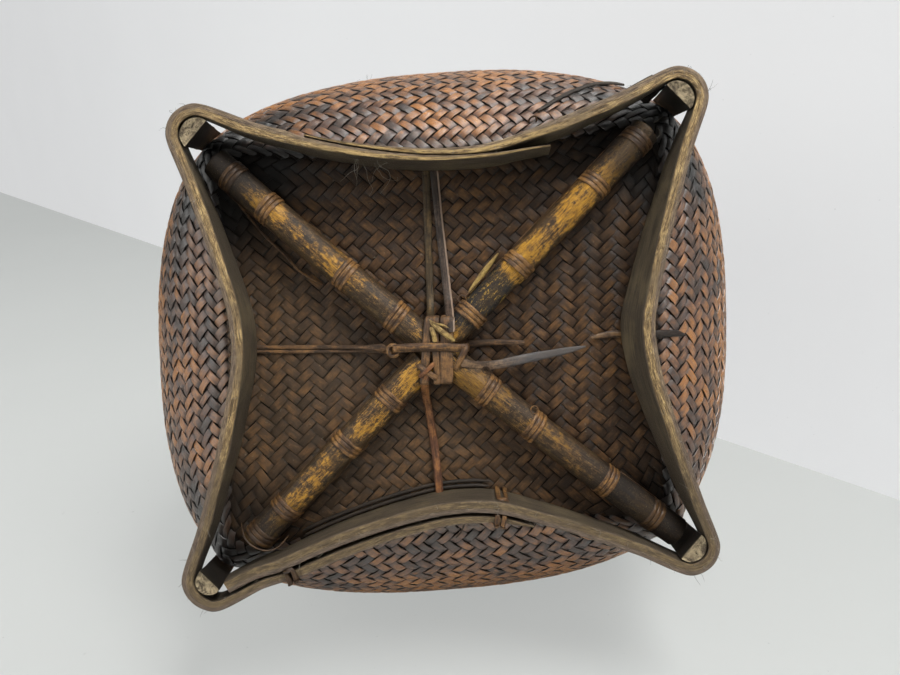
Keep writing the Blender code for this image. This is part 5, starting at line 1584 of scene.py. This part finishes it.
class BASKET_OT_bind_posts(bpy.types.Operator):
    """Bind the posts to the wall, and lay the loose strip beside the front wall"""

    bl_idname = "basket.bind_posts"
    bl_label = "Bind the posts"

    def execute(self, context):
        for corner in range(4):
            self.post_binding(corner)
        self.wall_strip()
        return {"FINISHED"}

    def post_binding(self, corner):
        pitch = POST_STRIP_WIDTH + 2 * LAYER_GAP
        inner = -LAYER_GAP - STRIP / 2
        line = [height for height, _ in POST_LINES[corner]]
        route = []
        for share in POST_BINDING_SHARES:
            centre = share * BODY_HEIGHT
            width, thickness = post_size(corner, centre)
            stand_off = (width / 2 + FIT_GAP) / math.cos(math.pi / ARC_STEPS / 2) - width / 2 + STRIP / 2
            turns = [(0, inner, 0, -1), (width / 2, inner, 0.5, -1)]
            for step in range(ARC_STEPS + 1):
                across, out = math.cos(math.pi * step / ARC_STEPS), math.sin(math.pi * step / ARC_STEPS)
                turns.append((across * (width / 2 + stand_off), out * (thickness + stand_off), across, out))
            turns.append((-width / 2, inner, -0.5, -1))
            first = centre - pitch * RING_TURNS / 2
            if route:
                low, high = route[-1][0] + pitch / 2, first - pitch / 2
                route += [(height, 0, inner, 0, -1) for height in line if low < height < high]
            for index in range(RING_TURNS * len(turns) + 1):
                route.append((first + pitch * index / len(turns), *turns[index % len(turns)]))
        direction, reach = corner_direction(corner), POST_STRIP_WIDTH / 2
        side, outward = Vector((-direction.y, direction.x, 0)), Vector((direction.x, direction.y, 0))
        points, outs = [], []
        for height, across, out, facing_across, facing_out in route:
            lean = (post_radius(corner, height + reach) - post_radius(corner, height - reach)) / (2 * reach)
            points.append(post_point(corner, height, across, out))
            outs.append(side * facing_across + (outward - Vector((0, 0, lean))) * facing_out)
        lay_strip("post_binding_" + CORNERS[corner], "post_lashing_" + CORNERS[corner], points, outs,
                  POST_STRIP_WIDTH, 0.0010, "lashing", 90 + corner, 2 * len(points))

    def wall_strip(self):
        points, outs = [], []
        for x, height in WALL_STRIP_PLACES:
            slope = math.acos(math.cos(SWELL_START) - (height - BASE_Z) / SWELL_RADIUS)
            _, half_width, half_depth, power = row_at(SWELL_RADIUS * (slope - SWELL_START))
            half_width, half_depth = half_width + 0.0022, half_depth + 0.0022
            x, y = skewed(x, -half_depth * (1 - (x / half_width) ** power) ** (1 / power))
            points.append((x, y, height))
            outs.append((x / half_width, y / half_depth, -1))
        lay_strip("wall_strip_skin", "wall_strip_front", points, outs, 0.0030, 0.0009, "dark_strip", 95, 40)


# Rim

RIM_TURNS, TURNS_ROUND = 24, 24.2
RIM_POWER = 2.01


class BASKET_OT_bind_rim(bpy.types.Operator):
    """Fit the two rim hoops and wind the rim's binding through the wall"""

    bl_idname = "basket.bind_rim"
    bl_label = "Bind the rim"

    def execute(self, context):
        inner_face = -WALL - LAYER_GAP
        self.hoop("rim_hoop_outer", LAYER_GAP, LAYER_GAP + HOOP_THICKNESS, 101)
        self.hoop("rim_hoop_inner", inner_face - HOOP_THICKNESS, inner_face, 102)
        outer = LAYER_GAP + HOOP_THICKNESS + STAND_OFF
        inner = inner_face - HOOP_THICKNESS - STAND_OFF - LAYER_GAP
        loop = box_loop(inner, outer, RIM_LOW_Z - STAND_OFF, BODY_HEIGHT + STAND_OFF, STAND_OFF / 2,
                        STAND_OFF / 2)

        def place(turn, u, v):
            return self.rim_point(2 * math.pi / TURNS_ROUND * math.ceil(turn), u, v)

        points, outs = loop_route(loop, RIM_TURNS, place)
        lay_strip("rim_binding", "rim_winding", points, outs, 0.0042, 0.0011, "lashing", 103,
                  5 * len(points))
        return {"FINISHED"}

    def rim_point(self, angle, outward, height):
        x, y = plan_places(np.array(angle), RIM_WIDTH / 2 + outward, RIM_DEPTH / 2 + outward, RIM_POWER)
        return float(x), float(y), height

    def hoop(self, node, inner, outer, seed):
        angles = turn_angles(160)
        centre, middle_z = (inner + outer) / 2, BODY_HEIGHT - HOOP_HEIGHT / 2
        points = np.array([self.rim_point(a, centre, middle_z) for a in angles])
        outs = unit_rows(np.array([self.rim_point(a, centre + 0.01, middle_z) for a in angles]) - points)
        tall, thick = HOOP_HEIGHT / 2, (outer - inner) / 2
        turn = turn_angles(20)
        section = np.stack([tall * np.sign(np.sin(turn)) * np.abs(np.sin(turn)) ** 0.55,
                            thick * np.sign(np.cos(turn)) * np.abs(np.cos(turn)) ** 0.45], 1)
        sections = np.repeat(section[None], len(angles), 0)
        uneven = 1 + 0.03 * np.sin(3 * angles + seed) + 0.02 * np.sin(11 * angles)
        sections[:, :, 1] *= np.minimum(uneven, 1.0)[:, None]
        dress(roll(node + "_skin", points, [UP] * len(angles), outs, sections, closed=True), node,
              "rim_hoop")


FIBRE_RADIUS, FIBRE_STEPS, FIBRE_SIDES = 0.00011, 14, 4
DARK_TUFTS = ((-0.056, -0.1875, 0.132), (-0.046, -0.1885, 0.130), (0.1480, -0.173, 0.120),
              (0.1520, -0.172, 0.118), (0.156, -0.170, 0.120))
FRAYED_STATIONS = (0.02, 0.985, 1.03, 1.9, 2.04, 2.08, 2.97, 3.05, 3.97)


class BASKET_OT_add_fibres(bpy.types.Operator):
    """Add the fine loose fibres that stand out from the old hoop and weave"""

    bl_idname = "basket.add_fibres"
    bl_label = "Add loose fibres"

    def execute(self, context):
        rng = np.random.default_rng(120)
        self.fibres("loose_fibres", "fibre", self.pale_starts(rng), rng)
        self.fibres("dark_fibres", "dark_strip", self.dark_starts(rng), rng)
        return {"FINISHED"}

    def fibres(self, name, kind, starts, rng):
        """Thin bent hairs in one mesh, from where they start, how they head, how long and curly they are."""
        places, faces, offset = [], [], 0
        steps, sides = FIBRE_STEPS, FIBRE_SIDES
        for start, direction, length, curl in starts:
            heading = unit_rows(np.array(direction, dtype=float))
            bend = rng.standard_normal(3) * curl
            point, line = np.array(start, dtype=float), []
            for _ in range(steps + 1):
                line.append(point)
                heading = unit_rows(heading + bend / steps)
                bend = bend + rng.standard_normal(3) * curl * 0.5
                point = point + heading * length / steps
            tangents = np.gradient(np.array(line), axis=0)
            across = unit_rows(np.cross(tangents, rng.standard_normal(3)))
            third = unit_rows(np.cross(tangents, across))
            radius = FIBRE_RADIUS * np.linspace(1, 0.35, steps + 1)[:, None]
            for turn in turn_angles(sides):
                places.append(line + radius * (across * math.cos(turn) + third * math.sin(turn)))
            for side in range(sides):
                a, b = (offset + number % sides * (steps + 1) for number in (side, side + 1))
                faces += [(a + k, a + k + 1, b + k + 1, b + k) for k in range(steps)]
            root = [offset + side * (steps + 1) for side in range(sides)]
            faces += [tuple(root), tuple(corner + steps for corner in reversed(root))]
            offset += sides * (steps + 1)
        deselect_all()
        bpy.ops.mesh.primitive_plane_add(size=0.001)
        made = bpy.context.object
        made.name = name
        mesh = bpy.data.meshes.new(name)
        mesh.from_pydata(np.vstack(places).tolist(), [], faces)
        change_mesh(made, mesh)
        finish_shape(made, fill=False)
        dress(made, None, kind)

    def pale_starts(self, rng):
        """Along the hoop's lower edge, inside its front and at the canes' ends."""
        for _ in range(120):
            station = rng.uniform(0, 4)
            point = hoop_point(station, 0.0002, rng.uniform(-0.0034, 0.0034))
            yield point, (*rng.uniform(-0.6, 0.6, 2), -0.7), rng.uniform(0.002, 0.007), 1.2
        for _ in range(10):
            station = 0.36 + rng.uniform(-0.04, 0.04)
            point = hoop_point(station, 0.012 + rng.uniform(-0.006, 0.006), -0.0040)
            yield point, (rng.uniform(-0.9, 0.9), 0.5,
                          rng.uniform(-0.9, 0.1)), rng.uniform(0.012, 0.028), 15.0
        for end in ARM_ENDS.values():
            outward = unit_rows(end - CROSSING)
            for _ in range(5):
                yield (end + rng.uniform(-0.006, 0.006, 3) * (1, 1, 0.6),
                       outward + rng.standard_normal(3) * 0.5, rng.uniform(0.003, 0.009), 1.5)

    def dark_starts(self, rng):
        """On the front wall and at the hoop's corners."""
        for place in DARK_TUFTS:
            for _ in range(3):
                yield place, (rng.uniform(-0.5, 0.5), -1.0,
                              rng.uniform(-0.5, 0.1)), rng.uniform(0.004, 0.008), 1.6
        for station in FRAYED_STATIONS:
            for _ in range(2):
                point = hoop_point(station + rng.uniform(-0.02, 0.02), rng.uniform(0.001, 0.006), 0.0034)
                away = point.xy.normalized() + Vector(rng.uniform(-0.5, 0.5, 2))
                yield point, (*away, -0.2), rng.uniform(0.003, 0.008), 1.5


# Stage, lamps and camera

FOCAL_PIXELS = 675.0
VIEW_DISTANCE = 0.38
CAMERA_OFFSET = np.array([-7 / FOCAL_PIXELS * VIEW_DISTANCE, 2.5 / FOCAL_PIXELS * VIEW_DISTANCE,
                          VIEW_DISTANCE])
ROLL = math.radians(3.05)
REST_TILT = math.radians(16.8)
CREASE_PIXELS = ((0, 192), (870, 490))
LAMPS = (
    ("window", (0.80, -1.45, -0.85), 1.2, 70.0, (1.0, 0.985, 0.96)),
    ("side_window", (1.55, 0.10, -0.30), 0.7, 19.0, (1.0, 0.99, 0.98)),
    ("bounce", (-1.3, -0.5, -0.7), 1.2, 12.0, (1.0, 0.99, 0.97)),
)
ROOM_COLOUR, ROOM_STRENGTH = (1.0, 0.98, 0.94, 1.0), 0.3


def camera_axes():
    """Directions of the basket's axes as the camera has them: right, down and forward."""
    away = unit_rows(np.array([-0.0074, -0.0363, 0.9993]))
    right = unit_rows(np.array([1.0, 0, 0]) - away[0] * away)
    down = np.cross(away, right)
    x_axis = math.cos(ROLL) * right - math.sin(ROLL) * down
    y_axis = math.sin(ROLL) * right + math.cos(ROLL) * down
    return np.stack([x_axis, y_axis, away], 1)


class BASKET_OT_set_stage(bpy.types.Operator):
    """Set the floor that the basket lies on, the backdrop, the lamps and the camera"""

    bl_idname = "basket.set_stage"
    bl_label = "Set the stage"

    def execute(self, context):
        colours = context.scene.basket_colours
        axes = camera_axes()
        place = -axes.T @ CAMERA_OFFSET
        right, down, forward = axes
        camera = bpy.data.objects.new("photo_camera", bpy.data.cameras.new("photo_camera"))
        context.scene.collection.objects.link(camera)
        camera.data.sensor_width = 36
        camera.data.lens = 27
        camera.data.clip_start = 0.01
        matrix = Matrix(np.stack([right, -down, -forward], 1).tolist()).to_4x4()
        matrix.translation = Vector(place)
        camera.matrix_world = matrix
        context.scene.camera = camera

        up = np.array([0, -math.cos(REST_TILT), -math.sin(REST_TILT)])
        level = float((Wall().places.reshape(-1, 3) @ up).min()) - 0.0012
        rays = [(u - 450) / FOCAL_PIXELS * right + (v - 337.5) / FOCAL_PIXELS * down + forward
                for u, v in CREASE_PIXELS]
        crease = [place + ray * (level - place @ up) / (ray @ up) for ray in rays]
        line = unit_rows(crease[1] - crease[0])
        behind = np.cross(up, line)
        behind = behind if behind @ forward > 0 else -behind
        ends = [crease[1] - line * 9, crease[1] + line * 6]
        self.sheet("floor", ends, -behind * 6, up, colours.floor, 0.68)
        self.sheet("backdrop", ends, up * 7, -behind, colours.backdrop, 0.72)

        world = bpy.data.worlds.new("soft_room")
        context.scene.world = world
        world.use_nodes = True
        background = world.node_tree.nodes["Background"].inputs
        background[0].default_value, background[1].default_value = ROOM_COLOUR, ROOM_STRENGTH
        for lamp in LAMPS:
            self.lamp(*lamp)
        context.scene.view_settings.view_transform = "Standard"
        return {"FINISHED"}

    def sheet(self, name, ends, reach, facing, colour, glow):
        """A wide flat sheet that shows only from its front, so that it never hides the basket."""
        deselect_all()
        bpy.ops.mesh.primitive_plane_add(size=1)
        made = bpy.context.object
        made.name = name
        for vertex, corner in zip(made.data.vertices, (*ends, ends[0] + reach, ends[1] + reach)):
            vertex.co = corner
        made.data.update()
        if made.data.polygons[0].normal.dot(Vector(facing)) < 0:
            made.data.flip_normals()
        finish = Finish(name + "_paper", 0.85)
        tone = finish.mix(finish.spots(3.0, 4.0, 0.5) * 0.5, tuple(colour),
                          tuple(part * 0.93 for part in colour))
        tone = finish.lay(tone, tuple(part * 0.5 for part in colour), finish.spots(260.0, 2.0, 0.5), 0.76,
                          0.8, 0.35)
        finish.feed("Base Color", tone)
        back = finish.node("ShaderNodeNewGeometry", output="Backfacing")
        seen = finish.node("ShaderNodeLightPath", output="Is Camera Ray")
        clear = finish.node("ShaderNodeBsdfTransparent")
        even = finish.node("ShaderNodeEmission", values={0: tone})
        paper = Wire(finish, finish.shader.outputs[0])
        lit = finish.node("ShaderNodeMixShader", values={0: seen * glow, 1: paper, 2: even})
        mixed = finish.node("ShaderNodeMixShader", values={0: back, 1: lit, 2: clear})
        finish.tree.links.new(mixed.socket, finish.tree.nodes["Material Output"].inputs["Surface"])
        made.data.materials.append(finish.material)

    def lamp(self, name, place, size, energy, colour):
        lamp = bpy.data.lights.new(name, "AREA")
        lamp.shape = "DISK"
        lamp.size = size
        lamp.energy = energy
        lamp.color = colour
        made = bpy.data.objects.new(name, lamp)
        bpy.context.scene.collection.objects.link(made)
        made.location = place
        made.rotation_euler = (Vector(place) - Vector((0, 0, 0.08))).to_track_quat("Z", "Y").to_euler()


class BASKET_PT_panel(bpy.types.Panel):
    """Lists the steps of making the basket"""

    bl_idname = "BASKET_PT_panel"
    bl_label = "Rice basket"
    bl_space_type = "VIEW_3D"
    bl_region_type = "UI"
    bl_category = "Basket"

    def draw(self, context):
        for group in (context.scene.basket_sizes, context.scene.basket_colours):
            for name in group.bl_rna.properties.keys():
                if name not in ("rna_type", "name"):
                    self.layout.prop(group, name)
        for step in STEPS:
            self.layout.operator(step.bl_idname)


STEPS = (
    BASKET_OT_plait_body, BASKET_OT_bend_foot, BASKET_OT_set_posts, BASKET_OT_lay_canes,
    BASKET_OT_wind_lashings, BASKET_OT_bind_crossing, BASKET_OT_tie_foot, BASKET_OT_bind_posts,
    BASKET_OT_bind_rim, BASKET_OT_add_fibres, BASKET_OT_set_stage,
)
CLASSES = (BasketSizes, BasketColours, *STEPS, BASKET_PT_panel)


def register():
    for item in CLASSES:
        bpy.utils.register_class(item)
    bpy.types.Scene.basket_sizes = bpy.props.PointerProperty(type=BasketSizes)
    bpy.types.Scene.basket_colours = bpy.props.PointerProperty(type=BasketColours)


def unregister():
    del bpy.types.Scene.basket_colours
    del bpy.types.Scene.basket_sizes
    for item in reversed(CLASSES):
        bpy.utils.unregister_class(item)


def main():
    """Makes every piece in order."""
    register()
    for step in STEPS:
        group, name = step.bl_idname.split(".")
        getattr(getattr(bpy.ops, group), name)()
    deselect_all()


if __name__ == "__main__":
    main()
